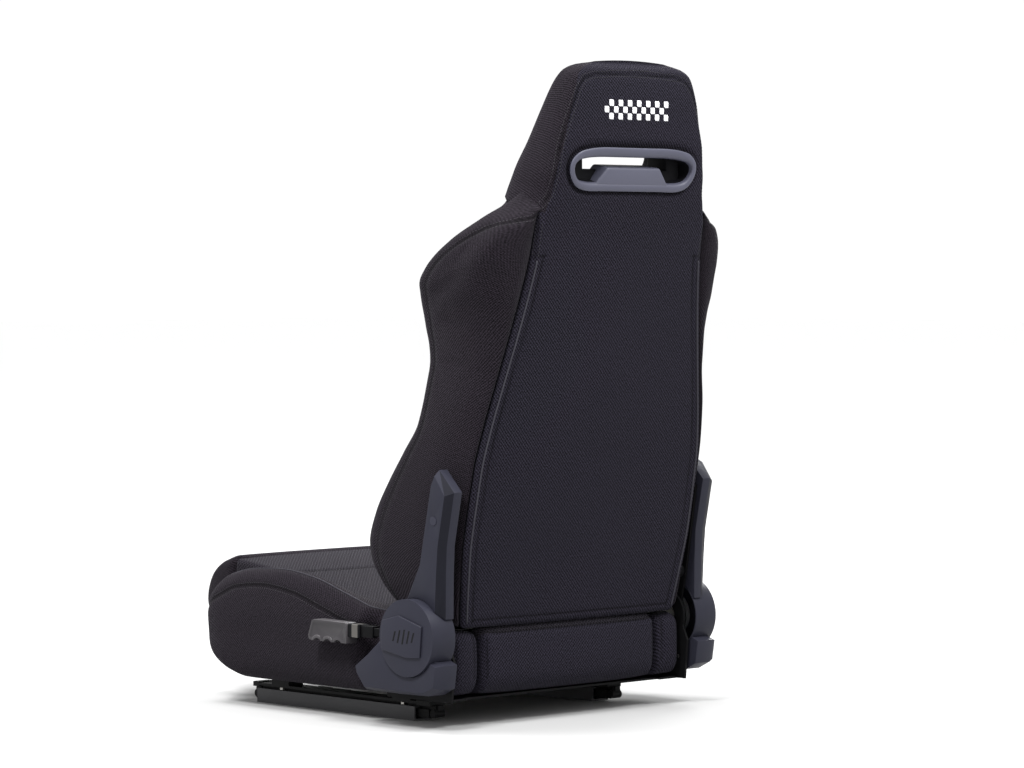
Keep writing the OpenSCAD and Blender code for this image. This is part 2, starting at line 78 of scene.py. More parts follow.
class SeatSizes(bpy.types.PropertyGroup):
    """Sizes of the trim that a user would change"""

    foam_swell: bpy.props.FloatProperty(
        name="Foam swell", description="Pressure that fills the padded pieces", default=4.0, min=0.0,
        max=12.0,
    )
    piping: bpy.props.FloatProperty(
        name="Piping radius", description="Radius of the piping cord", default=0.0013, min=0.0008,
        max=0.004, subtype="DISTANCE", unit="LENGTH",
    )
    stitch: bpy.props.FloatProperty(
        name="Stitch pitch", description="Distance from stitch to stitch", default=0.0052, min=0.003,
        max=0.012, subtype="DISTANCE", unit="LENGTH",
    )
    seam_depth: bpy.props.FloatProperty(
        name="Seam depth", description="How far a seam pulls into the foam", default=0.0024, min=0.0,
        max=0.008, subtype="DISTANCE", unit="LENGTH",
    )
    edge_round: bpy.props.FloatProperty(
        name="Cover edge", description="Radius on the edges of the moulded covers", default=0.0016,
        min=0.0004, max=0.003, subtype="DISTANCE", unit="LENGTH",
    )


def colour(name, description, default):
    """A colour setting."""
    return bpy.props.FloatVectorProperty(
        name=name, description=description, default=default, size=3, subtype="COLOR", min=0, max=1
    )


class SeatColours(bpy.types.PropertyGroup):
    """Colours of the cloths and plastics"""

    panel: colour("Panel cloth", "Twill on the back and the rear block", (0.0101, 0.0091, 0.014))
    side: colour("Side cloth", "Plain weave on bolsters and head sides", (0.0086, 0.0068, 0.0094))
    knit: colour("Insert knit", "Waffle knit on the seat centre", (0.0082, 0.007, 0.0098))
    slate: colour("Cover plastic", "Moulded covers and harness guide", (0.0175, 0.0178, 0.0262))
    thread: colour("Badge thread", "Embroidered strip on the head", (0.78, 0.78, 0.8))


# ---------- curves and tables ----------


def smooth(table):
    """Monotone cubic through (position, value) pairs, so a table never overshoots."""
    x = np.array([p[0] for p in table], float)
    y = np.array([p[1] for p in table], float)
    h, d = np.diff(x), np.diff(y) / np.diff(x)
    m = np.zeros(len(x))
    m[0], m[-1] = d[0], d[-1]
    for i in range(1, len(x) - 1):
        m[i] = 0 if d[i - 1] * d[i] <= 0 else 2 * d[i - 1] * d[i] / (d[i - 1] + d[i])

    def at(t):
        t = min(max(float(t), x[0]), x[-1])
        i = min(max(int(np.searchsorted(x, t)) - 1, 0), len(x) - 2)
        s = (t - x[i]) / h[i]
        return float(
            y[i] * (2 * s**3 - 3 * s**2 + 1) + m[i] * h[i] * (s**3 - 2 * s**2 + s)
            + y[i + 1] * (3 * s**2 - 2 * s**3) + m[i + 1] * h[i] * (s**3 - s**2)
        )

    return at


def ring_points(ctrl, u):
    """Closed centripetal curve through the control points, at shares u of their count."""
    ctrl = np.asarray(ctrl, float)
    n = len(ctrl)
    s = (np.asarray(u, float) % 1.0) * n
    k = np.floor(s).astype(int) % n
    f = (s - np.floor(s))[:, None]
    p = [ctrl[(k + o) % n] for o in (-1, 0, 1, 2)]
    t = [np.zeros((len(k), 1))]
    for a, b in zip(p, p[1:]):
        t.append(t[-1] + np.maximum(np.linalg.norm(b - a, axis=1, keepdims=True), 1e-6) ** 0.5)
    q = t[1] + f * (t[2] - t[1])

    def mix(a, b, ta, tb):
        return a * (tb - q) / (tb - ta) + b * (q - ta) / (tb - ta)

    a1, a2, a3 = mix(p[0], p[1], t[0], t[1]), mix(p[1], p[2], t[1], t[2]), mix(p[2], p[3], t[2], t[3])
    return mix(mix(a1, a2, t[0], t[2]), mix(a2, a3, t[1], t[3]), t[1], t[2])


def back_to_world(p):
    """Points of the leaning backrest, (x, y, z) in mm along its own axes, as metres of the frame."""
    p = np.asarray(p, float)
    out = np.empty_like(p)
    out[:, 0] = p[:, 0]
    out[:, 1] = AXIS_Y + p[:, 1] * math.cos(LEAN) + p[:, 2] * math.sin(LEAN)
    out[:, 2] = AXIS_Z + p[:, 2] * math.cos(LEAN) - p[:, 1] * math.sin(LEAN)
    return out * MM


def seat_to_world(p):
    """Points of the cushion, in mm along the seat base, as metres of the frame."""
    return (np.asarray(p, float) + [0, SEAT_Y, 0]) * MM


def plain_to_world(p):
    """Points in mm of the frame, as metres."""
    return np.asarray(p, float) * MM


# ---------- mesh helpers ----------


def keep(name, bm, materials, smooth_faces=True):
    """Makes the object of a finished bmesh, at the origin."""
    mesh = bpy.data.meshes.new(name)
    bm.to_mesh(mesh)
    bm.free()
    obj = bpy.data.objects.new(name, mesh)
    bpy.context.scene.collection.objects.link(obj)
    for m in materials:
        mesh.materials.append(FINISH[m])
    if smooth_faces:
        for p in mesh.polygons:
            p.use_smooth = True
    PIECES[name] = obj
    return obj


def bevel_edges(bm, edges, radius, segments, clamp=False):
    """Rounds the edges of a bmesh; clamp keeps neighbouring rounds from crossing."""
    bmesh.ops.bevel(
        bm, geom=edges, offset=radius, offset_type="OFFSET", affect="EDGES", segments=segments,
        profile=0.5, material=-1, clamp_overlap=clamp,
    )


class Loft:
    """A soft skin through rings of control points along v, with rounded ends."""

    def __init__(self, ctrl, v0, v1, place, axis, step=4.0, ends=(8.0, 8.0), bulge=(0.0, 0.0)):
        self.ctrl, self.place, self.axis, self.bulge = ctrl, place, axis, bulge
        self.v0, self.v1, self.ends = v0, v1, ends
        mid = np.asarray(ctrl((v0 + v1) / 2), float)
        fine = np.linspace(0, 1, 1601)
        run = ring_points(mid, fine[:-1])
        run = np.vstack([run, run[:1]])
        length = np.concatenate([[0], np.cumsum(np.linalg.norm(np.diff(run, axis=0), axis=1))])
        self.u = np.interp(np.linspace(0, length[-1], max(24, int(length[-1] / step)) + 1), length, fine)
        rows = [(v0, ends[0], s) for s in (0.02, 0.25, 0.5, 0.72, 0.88)]
        rows += [
            (v0 + ends[0] * (1 - math.cos(a)), ends[0] * (1 - math.sin(a)), 1)
            for a in np.radians(np.linspace(0, 80, 6))
        ]
        inner = max(3, int((v1 - v0 - sum(ends)) / step))
        rows += [(v, 0, 1) for v in np.linspace(v0 + ends[0], v1 - ends[1], inner)]
        rows += [
            (v1 - ends[1] * (1 - math.cos(a)), ends[1] * (1 - math.sin(a)), 1)
            for a in np.radians(np.linspace(80, 0, 6))
        ]
        rows += [(v1, ends[1], s) for s in (0.88, 0.72, 0.5, 0.25, 0.02)]
        self.rows = rows

    def ring(self, row, u):
        v, inset, share = row
        c = np.asarray(self.ctrl(v), float)
        p = ring_points(c, u)
        lo, hi = c.min(0), c.max(0)
        mid, half = (lo + hi) / 2, np.maximum((hi - lo) / 2, 0.5)
        for k in range(3):
            if k != self.axis:
                p[:, k] = mid[k] + (p[:, k] - mid[k]) * max(0.05, 1 - inset / half[k]) * share
            elif share < 1:
                p[:, k] += (-self.bulge[0] if v == self.v0 else self.bulge[1]) * (1 - share**2)
        return p

    def on(self, u, v):
        """Points of the frame on the skin at ring share u, for each v."""
        return np.vstack(
            [self.place(self.ring((w, 0, 1), np.array([u(w) if callable(u) else u]))) for w in v]
        )

    def build(self, name, materials, cloth=lambda u, v: 0):
        nu, nv = len(self.u) - 1, len(self.rows) - 1
        pts = np.array([self.place(self.ring(r, self.u)) for r in self.rows])
        across = np.concatenate(
            [np.zeros((nv + 1, 1)), np.cumsum(np.linalg.norm(np.diff(pts, axis=1), axis=2), axis=1)], axis=1,
        )
        along = np.concatenate(
            [np.zeros((1, nu + 1)), np.cumsum(np.linalg.norm(np.diff(pts, axis=0), axis=2), axis=0)]
        )
        across -= across[:, nu // 2][:, None]
        along -= along[nv // 2][None, :]
        bm = bmesh.new()
        bmesh.ops.create_grid(bm, x_segments=nu, y_segments=nv, size=1)
        cell = {}
        for v in bm.verts:
            i, j = round((v.co.x + 1) / 2 * nu), round((v.co.y + 1) / 2 * nv)
            cell[v] = (i, j)
            v.co = pts[j, i]
        uv = bm.loops.layers.uv.new("weave")
        for f in bm.faces:
            ij = [cell[l.vert] for l in f.loops]
            for l, (i, j) in zip(f.loops, ij):
                l[uv].uv = (across[j, i], along[j, i])
            i, j = min(a for a, _ in ij), min(b for _, b in ij)
            f.material_index = cloth((self.u[i] + self.u[i + 1]) / 2, self.rows[j][0])
        bmesh.ops.remove_doubles(bm, verts=bm.verts, dist=1e-6)
        bmesh.ops.holes_fill(bm, edges=[e for e in bm.edges if e.is_boundary], sides=0)
        bmesh.ops.recalc_face_normals(bm, faces=bm.faces)
        return keep(name, bm, materials)


def coords(obj):
    """Vertex positions as an array."""
    co = np.zeros(len(obj.data.vertices) * 3, np.float32)
    obj.data.vertices.foreach_get("co", co)
    return co.reshape(-1, 3).astype(float)


def set_coords(obj, co):
    obj.data.vertices.foreach_set("co", np.asarray(co, np.float32).ravel())
    obj.data.update()


def normals(obj):
    """Vertex normals as an array."""
    n = np.zeros(len(obj.data.vertices) * 3, np.float32)
    obj.data.vertex_normals.foreach_get("vector", n)
    return n.reshape(-1, 3).astype(float)


def nearest(points, line, reach=0.03):
    """Distance from each point to a densely sampled line."""
    line = resample(line, 0.003)
    best = np.full(len(points), 9.0)
    for k in range(0, len(line), 64):
        part = line[k : k + 64]
        near = np.where(
            (np.abs(points - part.mean(0)).max(1)) < reach + np.abs(part - part.mean(0)).max()
        )[0]
        if len(near):
            d = np.linalg.norm(points[near][:, None, :] - part[None], axis=2).min(1)
            best[near] = np.minimum(best[near], d)
    return best


def resample(line, pitch):
    """The line again with its points one pitch apart."""
    line = np.asarray(line, float)
    s = np.concatenate([[0], np.cumsum(np.linalg.norm(np.diff(line, axis=0), axis=1))])
    t = np.linspace(0, s[-1], max(2, int(round(s[-1] / pitch)) + 1))
    return np.stack([np.interp(t, s, line[:, k]) for k in range(3)], axis=1)


def swell(obj, cap, pinned=(), frames=14):
    """Fills a padded skin by cloth pressure. Seams stay pinned, and no point moves further than cap."""
    pressure = bpy.context.scene.seat_sizes.foam_swell
    if pressure <= 0:
        return
    scene = bpy.context.scene
    rest = coords(obj)
    group = obj.vertex_groups.new(name="pinned")
    hold = np.zeros(len(rest))
    for line in pinned:
        hold = np.maximum(hold, np.clip(1.4 - nearest(rest, line) / 0.006, 0, 1))
    for i in np.where(hold > 0)[0]:
        group.add([int(i)], float(hold[i]), "REPLACE")
    mod = obj.modifiers.new("swell", "CLOTH")
    s = mod.settings
    s.quality, s.mass = 4, 0.3
    s.tension_stiffness = s.compression_stiffness = 14
    s.bending_stiffness = 0.6
    s.use_pressure, s.uniform_pressure_force = True, pressure
    s.effector_weights.gravity = 0
    s.vertex_group_mass = "pinned"
    mod.collision_settings.use_collision = False
    mod.point_cache.frame_start, mod.point_cache.frame_end = 1, frames
    for f in range(1, frames + 1):
        scene.frame_set(f)
    got = obj.evaluated_get(bpy.context.evaluated_depsgraph_get())
    co = np.zeros(len(rest) * 3, np.float32)
    got.data.vertices.foreach_get("co", co)
    move = co.reshape(-1, 3).astype(float) - rest
    size = np.maximum(np.linalg.norm(move, axis=1, keepdims=True), 1e-9)
    move *= np.minimum(1.0, cap / size)
    obj.modifiers.remove(mod)
    obj.vertex_groups.remove(group)
    scene.frame_set(1)
    if np.isfinite(move).all():
        set_coords(obj, rest + move)


def press(obj, lines, depth=None, width=0.0042):
    """Pulls seams into the foam, and stores their mask as the seam attribute, which the cloth finish uses
    for painted shade in the seam creases.
    """
    depth = bpy.context.scene.seat_sizes.seam_depth if depth is None else depth
    co, n = coords(obj), normals(obj)
    mark = np.zeros(len(co))
    for line in lines:
        mark = np.maximum(mark, np.exp(-((nearest(co, line) / width) ** 2)))
    set_coords(obj, co - n * (mark * depth)[:, None])
    a = obj.data.attributes.get("seam") or obj.data.attributes.new("seam", "FLOAT", "POINT")
    old = np.zeros(len(co), np.float32)
    a.data.foreach_get("value", old)
    a.data.foreach_set("value", np.maximum(old, mark).astype(np.float32))


def tree(obj):
    """Search tree of an object's faces."""
    bm = bmesh.new()
    bm.from_mesh(obj.data)
    made = BVHTree.FromBMesh(bm)
    bm.free()
    return made


def lay(obj, line, lift=0.0, shift=0.0):
    """Points and normals of the line dropped to the skin, moved sideways by shift and off it by lift."""
    skin, line = tree(obj), resample(line, 0.003)
    out, up = [], []
    along = np.gradient(line, axis=0)
    for p, t in zip(line, along):
        at, n, _, _ = skin.find_nearest(Vector(p))
        if shift:
            side = Vector(t).cross(n).normalized() * shift
            at, n, _, _ = skin.find_nearest(at + side)
        out.append(at + n * lift)
        up.append(n)
    pts = np.array(out)
    for _ in range(2):
        pts[1:-1] = (pts[:-2] + pts[1:-1] * 2 + pts[2:]) / 4
    return pts, np.array(up)


def cord_piece(name, lines, radius, material):
    """Piping: a round cord along each line, made a mesh."""
    bm = bmesh.new()
    for pts in lines:
        curve = bpy.data.curves.new("run", "CURVE")
        curve.dimensions, curve.bevel_depth = "3D", radius
        curve.bevel_resolution, curve.use_fill_caps = 2, True
        sp = curve.splines.new("POLY")
        pts = resample(pts, 0.004)
        sp.points.add(len(pts) - 1)
        for q, p in zip(sp.points, pts):
            q.co = (*p, 1)
        tmp = bpy.data.objects.new("run", curve)
        bpy.context.scene.collection.objects.link(tmp)
        mesh = bpy.data.meshes.new_from_object(tmp.evaluated_get(bpy.context.evaluated_depsgraph_get()))
        bm.from_mesh(mesh)
        bpy.data.objects.remove(tmp)
        bpy.data.curves.remove(curve)
        bpy.data.meshes.remove(mesh)
    bmesh.ops.remove_doubles(bm, verts=bm.verts, dist=1e-6)
    return keep(name, bm, [material])


def append(whole, bm):
    """Adds one bmesh to another and frees it."""
    mesh = bpy.data.meshes.new("part")
    bm.to_mesh(mesh)
    bm.free()
    whole.from_mesh(mesh)
    bpy.data.meshes.remove(mesh)


def stitch_piece(name, runs, material, body, length=0.0036, radius=0.00036):
    """Rows of thread stitches, one small rounded bead each."""
    whole = bmesh.new()
    pitch = bpy.context.scene.seat_sizes.stitch
    for pts, up in runs:
        bm = bmesh.new()
        s = np.concatenate([[0], np.cumsum(np.linalg.norm(np.diff(pts, axis=0), axis=1))])
        for t in np.arange(pitch, s[-1] - pitch, pitch):
            p = Vector([np.interp(t, s, pts[:, k]) for k in range(3)])
            q = Vector([np.interp(t + 0.001, s, pts[:, k]) for k in range(3)])
            n = Vector([np.interp(t, s, up[:, k]) for k in range(3)]).normalized()
            d = (q - p).normalized()
            side = n.cross(d).normalized()
            n = d.cross(side)
            made = bmesh.ops.create_uvsphere(bm, u_segments=6, v_segments=4, radius=1)["verts"]
            for v in made:
                c = v.co
                v.co = p + side * c.x * radius * 1.5 + n * c.y * radius + d * c.z * length / 2
            if len(bm.verts) > 900:
                append(whole, bm)
                bm = bmesh.new()
        append(whole, bm)
    obj = keep(name, whole, [material])
    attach(obj, body)
    return obj


def twin(obj, name):
    """The same piece on the other side of the seat."""
    bm = bmesh.new()
    bm.from_mesh(obj.data)
    bmesh.ops.scale(bm, vec=(-1, 1, 1), verts=bm.verts)
    bmesh.ops.reverse_faces(bm, faces=bm.faces)
    other = keep(name, bm, [])
    for m in obj.data.materials:
        other.data.materials.append(m)
    return other


def mirrored(line):
    """The same line on the right-hand side."""
    return np.asarray(line) * [-1, 1, 1]


def soften(cad_name, name, material, body, radius=None, angle=24, segments=3):
    """A CAD shell with its edges rounded, standing for the node."""
    radius = bpy.context.scene.seat_sizes.edge_round if radius is None else radius
    bm = bmesh.new()
    bm.from_mesh(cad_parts[cad_name].data)
    bmesh.ops.remove_doubles(bm, verts=bm.verts, dist=2e-6)
    bmesh.ops.dissolve_limit(bm, angle_limit=math.radians(1.2), verts=bm.verts, edges=bm.edges)
    sharp = [e for e in bm.edges if len(e.link_faces) == 2 and e.calc_face_angle(0) > math.radians(angle)]
    bevel_edges(bm, sharp, radius, segments, True)
    bmesh.ops.remove_doubles(bm, verts=bm.verts, dist=1e-6)
    bmesh.ops.triangulate(bm, faces=[f for f in bm.faces if len(f.verts) > 4])
    obj = keep(name, bm, [material])
    obj.data.set_sharp_from_angle(angle=math.radians(38))
    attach(obj, body)
    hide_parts(cad_name)
    return obj


# ---------- node groups and finishes ----------

FINISH = {}


def node(graph, kind, inputs=None, **props):
    """A node with its settings, and each input either a value or a link."""
    n = graph.nodes.new(kind)
    for k, v in props.items():
        setattr(n, k, v)
    for k, v in (inputs or {}).items():
        if isinstance(v, bpy.types.NodeSocket):
            graph.links.new(v, n.inputs[k])
        else:
            n.inputs[k].default_value = v
    return n


def calc(graph, op, a, b=0.0):
    return node(graph, "ShaderNodeMath", {0: a, 1: b}, operation=op).outputs[0]


def new_group(name, ins, outs):
    """An empty node group with its sockets."""
    g = bpy.data.node_groups.new(name, "ShaderNodeTree")
    for n, kind, default in ins:
        s = g.interface.new_socket(name=n, in_out="INPUT", socket_type=kind)
        if default is not None:
            s.default_value = default
    for n, kind in outs:
        g.interface.new_socket(name=n, in_out="OUTPUT", socket_type=kind)
    return g, g.nodes.new("NodeGroupInput"), g.nodes.new("NodeGroupOutput")


def weave_group():
    """Two crossed families of yarns: diagonal ribs for the twill, a square lattice for the waffle knit."""
    g, i, o = new_group(
        "yarns",
        [
            ("Vector", "NodeSocketVector", None),
            ("Pitch", "NodeSocketFloat", 0.003),
            ("Lattice", "NodeSocketFloat", 0.0),
        ],
        [("Height", "NodeSocketFloat"), ("Tone", "NodeSocketFloat")],
    )
    xyz = node(g, "ShaderNodeSeparateXYZ", {0: i.outputs["Vector"]})
    wobble = node(
        g, "ShaderNodeTexNoise", {"Vector": i.outputs["Vector"], "Scale": 90.0, "Detail": 1.0},
    ).outputs[0]
    wob = calc(g, "MULTIPLY", calc(g, "SUBTRACT", wobble, 0.5), 0.5)
    a = calc(
        g, "ADD", calc(g, "DIVIDE", calc(g, "ADD", xyz.outputs[0], xyz.outputs[1]), i.outputs["Pitch"]), wob,
    )
    b = calc(g, "DIVIDE", calc(g, "SUBTRACT", xyz.outputs[0], xyz.outputs[1]), i.outputs["Pitch"])
    ra = calc(g, "ABSOLUTE", calc(g, "SINE", calc(g, "MULTIPLY", a, math.pi)))
    rb = calc(g, "ABSOLUTE", calc(g, "SINE", calc(g, "MULTIPLY", b, math.pi)))
    twill = calc(
        g, "ADD", calc(g, "MULTIPLY", calc(g, "POWER", ra, 2.0), 0.64),
        calc(g, "MULTIPLY", calc(g, "POWER", rb, 2.0), 0.36),
    )
    waffle = calc(g, "MAXIMUM", calc(g, "POWER", ra, 4.0), calc(g, "POWER", rb, 4.0))
    mix = node(g, "ShaderNodeMix", {"Factor": i.outputs["Lattice"], 2: twill, 3: waffle}, data_type="FLOAT")
    fuzz = node(
        g, "ShaderNodeTexNoise", {"Vector": i.outputs["Vector"], "Scale": 420.0, "Detail": 2.0},
    ).outputs[0]
    height = calc(g, "ADD", mix.outputs[0], calc(g, "MULTIPLY", fuzz, 0.35))
    g.links.new(height, o.inputs["Height"])
    g.links.new(
        calc(
            g, "ADD", calc(g, "MULTIPLY", mix.outputs[0], 0.8),
            calc(g, "MULTIPLY", calc(g, "SUBTRACT", fuzz, 0.5), 1.7),
        ),
        o.inputs["Tone"],
    )
    return g


def blotch_group():
    """Slow variation over a surface, as from handling and dust."""
    g, i, o = new_group("handling", [("Scale", "NodeSocketFloat", 6.0)], [("Mask", "NodeSocketFloat")])
    at = node(g, "ShaderNodeTexCoord").outputs["Object"]
    n = node(
        g, "ShaderNodeTexNoise",
        {"Vector": at, "Scale": i.outputs["Scale"], "Detail": 4.0, "Roughness": 0.6},
    ).outputs[0]
    g.links.new(
        node(g, "ShaderNodeMapRange", {0: n, 1: 0.3, 2: 0.7, 3: 0.0, 4: 1.0}).outputs[0], o.inputs["Mask"],
    )
    return g


def grain_group():
    """Fine moulding grain or brushing, and a mask of worn edges."""
    g, i, o = new_group(
        "grain",
        [
            ("Scale", "NodeSocketFloat", 900.0),
            ("Stretch", "NodeSocketVector", (1.0, 1.0, 1.0)),
            ("Wear", "NodeSocketFloat", 1.0),
        ],
        [("Height", "NodeSocketFloat"), ("Edge", "NodeSocketFloat")],
    )
    at = node(g, "ShaderNodeTexCoord").outputs["Object"]
    long = node(
        g, "ShaderNodeVectorMath", {0: at, 1: i.outputs["Stretch"]}, operation="MULTIPLY",
    ).outputs[0]
    n = node(
        g, "ShaderNodeTexNoise",
        {"Vector": long, "Scale": i.outputs["Scale"], "Detail": 3.0, "Roughness": 0.65},
    ).outputs[0]
    point = node(g, "ShaderNodeNewGeometry").outputs["Pointiness"]
    edge = node(g, "ShaderNodeMapRange", {0: point, 1: 0.52, 2: 0.62, 3: 0.0, 4: 1.0}).outputs[0]
    g.links.new(n, o.inputs["Height"])
    g.links.new(calc(g, "MULTIPLY", edge, i.outputs["Wear"]), o.inputs["Edge"])
    return g


GROUPS = {}


def placed(graph, name, inputs=None):
    return node(graph, "ShaderNodeGroup", inputs, node_tree=GROUPS[name])


def blend_colour(graph, factor, a, b):
    """Mixes two colours or colour links."""
    n = node(graph, "ShaderNodeMix", {"Factor": factor}, data_type="RGBA")
    for k, c in ((6, a), (7, b)):
        if isinstance(c, bpy.types.NodeSocket):
            graph.links.new(c, n.inputs[k])
        else:
            n.inputs[k].default_value = (*c, 1)
    return n.outputs[2]


def shader(name):
    """An empty material with one principled shader."""
    m = bpy.data.materials.new(name)
    m.use_nodes = True
    t = m.node_tree
    t.nodes.clear()
    p = t.nodes.new("ShaderNodeBsdfPrincipled")
    t.links.new(p.outputs[0], t.nodes.new("ShaderNodeOutputMaterial").inputs[0])
    FINISH[name] = m
    return t, p


def cloth_finish(name, colour, pitch, lattice, bump, sheen, contrast=1.0):
    """A woven finish: yarns for tone and relief, slow blotches, and painted shade along the pressed seams.
    """
    t, p = shader(name)
    at = node(t, "ShaderNodeUVMap", uv_map="weave").outputs[0]
    w = placed(t, "yarns", {"Vector": at, "Pitch": pitch, "Lattice": lattice})
    h = placed(t, "handling", {"Scale": 5.0})
    c = np.array(colour)
    low, high = c * (1 - 0.95 * contrast), c * (1 + 1.7 * contrast)
    base = blend_colour(t, w.outputs["Tone"], low, high)
    base = blend_colour(t, calc(t, "MULTIPLY", h.outputs["Mask"], 0.22), base, c * 1.5)
    # Painted shade: the cloth darkens towards 8% of its colour where the seam attribute marks a pressed
    # seam.
    seam = node(t, "ShaderNodeAttribute", attribute_name="seam").outputs["Fac"]
    base = blend_colour(t, calc(t, "MULTIPLY", calc(t, "POWER", seam, 2.0), 0.92), base, c * 0.08)
    t.links.new(base, p.inputs["Base Color"])
    rough = calc(t, "SUBTRACT", 0.95, calc(t, "MULTIPLY", w.outputs["Tone"], 0.15))
    t.links.new(rough, p.inputs["Roughness"])
    p.inputs["Specular IOR Level"].default_value = 0.06
    p.inputs["Sheen Weight"].default_value = sheen
    p.inputs["Sheen Roughness"].default_value = 0.45
    p.inputs["Sheen Tint"].default_value = (0.75, 0.74, 0.82, 1)
    b = node(t, "ShaderNodeBump", {"Strength": 0.8, "Distance": bump, "Height": w.outputs["Height"]})
    t.links.new(b.outputs[0], p.inputs["Normal"])


def hard_finish(
    name, colour, metal, rough, scale=900.0, stretch=(1, 1, 1), bump=0.00006, wear=0.5,
    worn=(0.3, 0.3, 0.32), coat=0.0, specular=0.35,
):
    """A moulded or metal finish: fine grain, handling marks and worn edges."""
    t, p = shader(name)
    g = placed(t, "grain", {"Scale": scale, "Stretch": stretch, "Wear": wear})
    h = placed(t, "handling", {"Scale": 14.0})
    c = np.array(colour)
    base = blend_colour(t, g.outputs["Height"], c * 0.85, c * 1.15)
    base = blend_colour(t, calc(t, "MULTIPLY", h.outputs["Mask"], 0.3), base, c * 1.3)
    base = blend_colour(t, g.outputs["Edge"], base, worn)
    p.inputs["Specular IOR Level"].default_value = specular
    t.links.new(base, p.inputs["Base Color"])
    r = calc(
        t, "ADD", calc(t, "MULTIPLY", h.outputs["Mask"], 0.1),
        calc(t, "ADD", rough - 0.1, calc(t, "MULTIPLY", g.outputs["Height"], 0.12)),
    )
    t.links.new(r, p.inputs["Roughness"])
    p.inputs["Metallic"].default_value = metal
    p.inputs["Coat Weight"].default_value = coat
    p.inputs["Coat Roughness"].default_value = 0.35
    b = node(t, "ShaderNodeBump", {"Strength": 0.5, "Distance": bump, "Height": g.outputs["Height"]})
    t.links.new(b.outputs[0], p.inputs["Normal"])


CAD_FINISH = {
    "rail_steel": ["lower_rails"],
    "rail_black": ["upper_rails", "rail_spacers", "rail_end_caps"],
    "zinc": ["pan_bolts", "recliner_hubs", "towel_bar", "towel_bar_pins", "cover_screws", "ball_cages"],
    "steel_black": ["seat_pan", "side_plates", "back_brackets", "back_frame", "latch_levers", "sync_rod"],
    "spring_steel": ["recliner_springs", "back_springs", "rod_clips"],
    "plastic_slate": ["arm_plugs"],
}


class SEAT_OT_finishes(bpy.types.Operator):
    """Builds the node groups and every finish, and dresses the frame's metal parts"""

    bl_idname = "seat.finishes"
    bl_label = "Finishes"

    def execute(self, context):
        k = context.scene.seat_colours
        GROUPS["yarns"], GROUPS["handling"], GROUPS["grain"] = weave_group(), blotch_group(), grain_group()
        cloth_finish("fabric_panel", k.panel, 0.0056, 0.0, 0.0013, 0.02)
        cloth_finish("fabric_side", k.side, 0.0046, 0.0, 0.0011, 0.035, 1.0)
        cloth_finish("fabric_knit", k.knit, 0.0044 * math.sqrt(2), 1.0, 0.0018, 0.045, 1.0)
        cloth_finish("thread", k.thread, 0.0016, 0.0, 0.0004, 0.1, 0.25)
        hard_finish("stitch_dark", (0.014, 0.013, 0.016), 0, 0.7, 1500, wear=0)
        hard_finish("piping", (0.03, 0.029, 0.036), 0, 0.6, 1500, bump=0.0002, wear=0, specular=0.1)
        hard_finish(
            "plastic_slate", k.slate, 0, 0.42, 1400, bump=0.00006, wear=0.25, worn=(0.05, 0.05, 0.07),
            specular=0.09,
        )
        # A darker, rougher copy of the slate, used as painted shade on the rear bevels of the arm covers.
        hard_finish(
            "plastic_painted_shade", np.array(k.slate) * 0.45, 0, 0.5, 1400, bump=0.00006, wear=0.2,
            worn=(0.04, 0.04, 0.05), specular=0.07,
        )
        hard_finish(
            "plastic_guide", np.array(k.slate) * 2.9, 0, 0.46, 1400, bump=0.00006, wear=0.4,
            worn=(0.2, 0.21, 0.26),
        )
        hard_finish(
            "plastic_black", (0.004, 0.004, 0.005), 0, 0.5, 1200, wear=0.3, worn=(0.02, 0.02, 0.02),
            specular=0.05,
        )
        hard_finish(
            "plastic_grip", (0.02, 0.018, 0.021), 0, 0.42, 700, bump=0.0001, wear=0.5,
            worn=(0.16, 0.15, 0.16),
        )
        hard_finish(
            "rail_steel", (0.011, 0.0105, 0.012), 0.15, 0.46, 260, (1, 0.03, 1), 0.00004, 0.4,
            (0.08, 0.08, 0.085), specular=0.3,
        )
        hard_finish(
            "rail_black", (0.0025, 0.0025, 0.003), 0.0, 0.48, 600, wear=0.25, worn=(0.03, 0.03, 0.03),
            specular=0.08,
        )
        hard_finish(
            "steel_black", (0.0025, 0.0025, 0.003), 0.0, 0.5, 800, wear=0.15, worn=(0.02, 0.02, 0.02),
            specular=0.06,
        )
        hard_finish("zinc", (0.3, 0.29, 0.27), 0.95, 0.36, 500, wear=0.3, worn=(0.6, 0.6, 0.58))
        hard_finish(
            "worn_metal", (0.07, 0.065, 0.06), 0.85, 0.36, 90, bump=0.0004, wear=0.8, worn=(0.6, 0.58, 0.55),
        )
        hard_finish("spring_steel", (0.2, 0.2, 0.21), 0.9, 0.4, 700, wear=0.2)
        for finish, nodes in CAD_FINISH.items():
            for n in nodes:
                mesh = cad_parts[n].data
                mesh.materials.clear()
                mesh.materials.append(FINISH[finish])
        return {"FINISHED"}


# ---------- backrest ----------

PANEL_X = smooth(
    [
        [18, 226], [79, 233], [155, 239], [256, 237], [316, 229], [385, 215], [465, 198], [524, 187],
        [572, 180], [640, 176], [656, 172], [670, 166],
    ]
)
HEAD_X = smooth(
    [
        [640, 176], [656, 172], [672, 168], [692, 166], [737, 156], [781, 145], [826, 132], [845, 124],
        [856, 108], [862, 84],
    ]
)
HEAD_FRONT = smooth(
    [
        [640, -66], [661, -66], [692, -60], [737, -48], [781, -40], [826, -31], [845, -22], [856, -12],
        [862, -3],
    ]
)
REAR_Y = smooth(
    [[18, 36], [600, 37], [677, 40], [739, 38], [780, 33], [812, 28], [840, 21], [856, 14], [862, 8]]
)
HALF_W = smooth(
    [
        [18, 238], [60, 244], [150, 246], [250, 247], [344, 243], [407, 234], [454, 233], [485, 238],
        [517, 247], [556, 249], [580, 245], [618, 226], [651, 189], [668, 172],
    ]
)
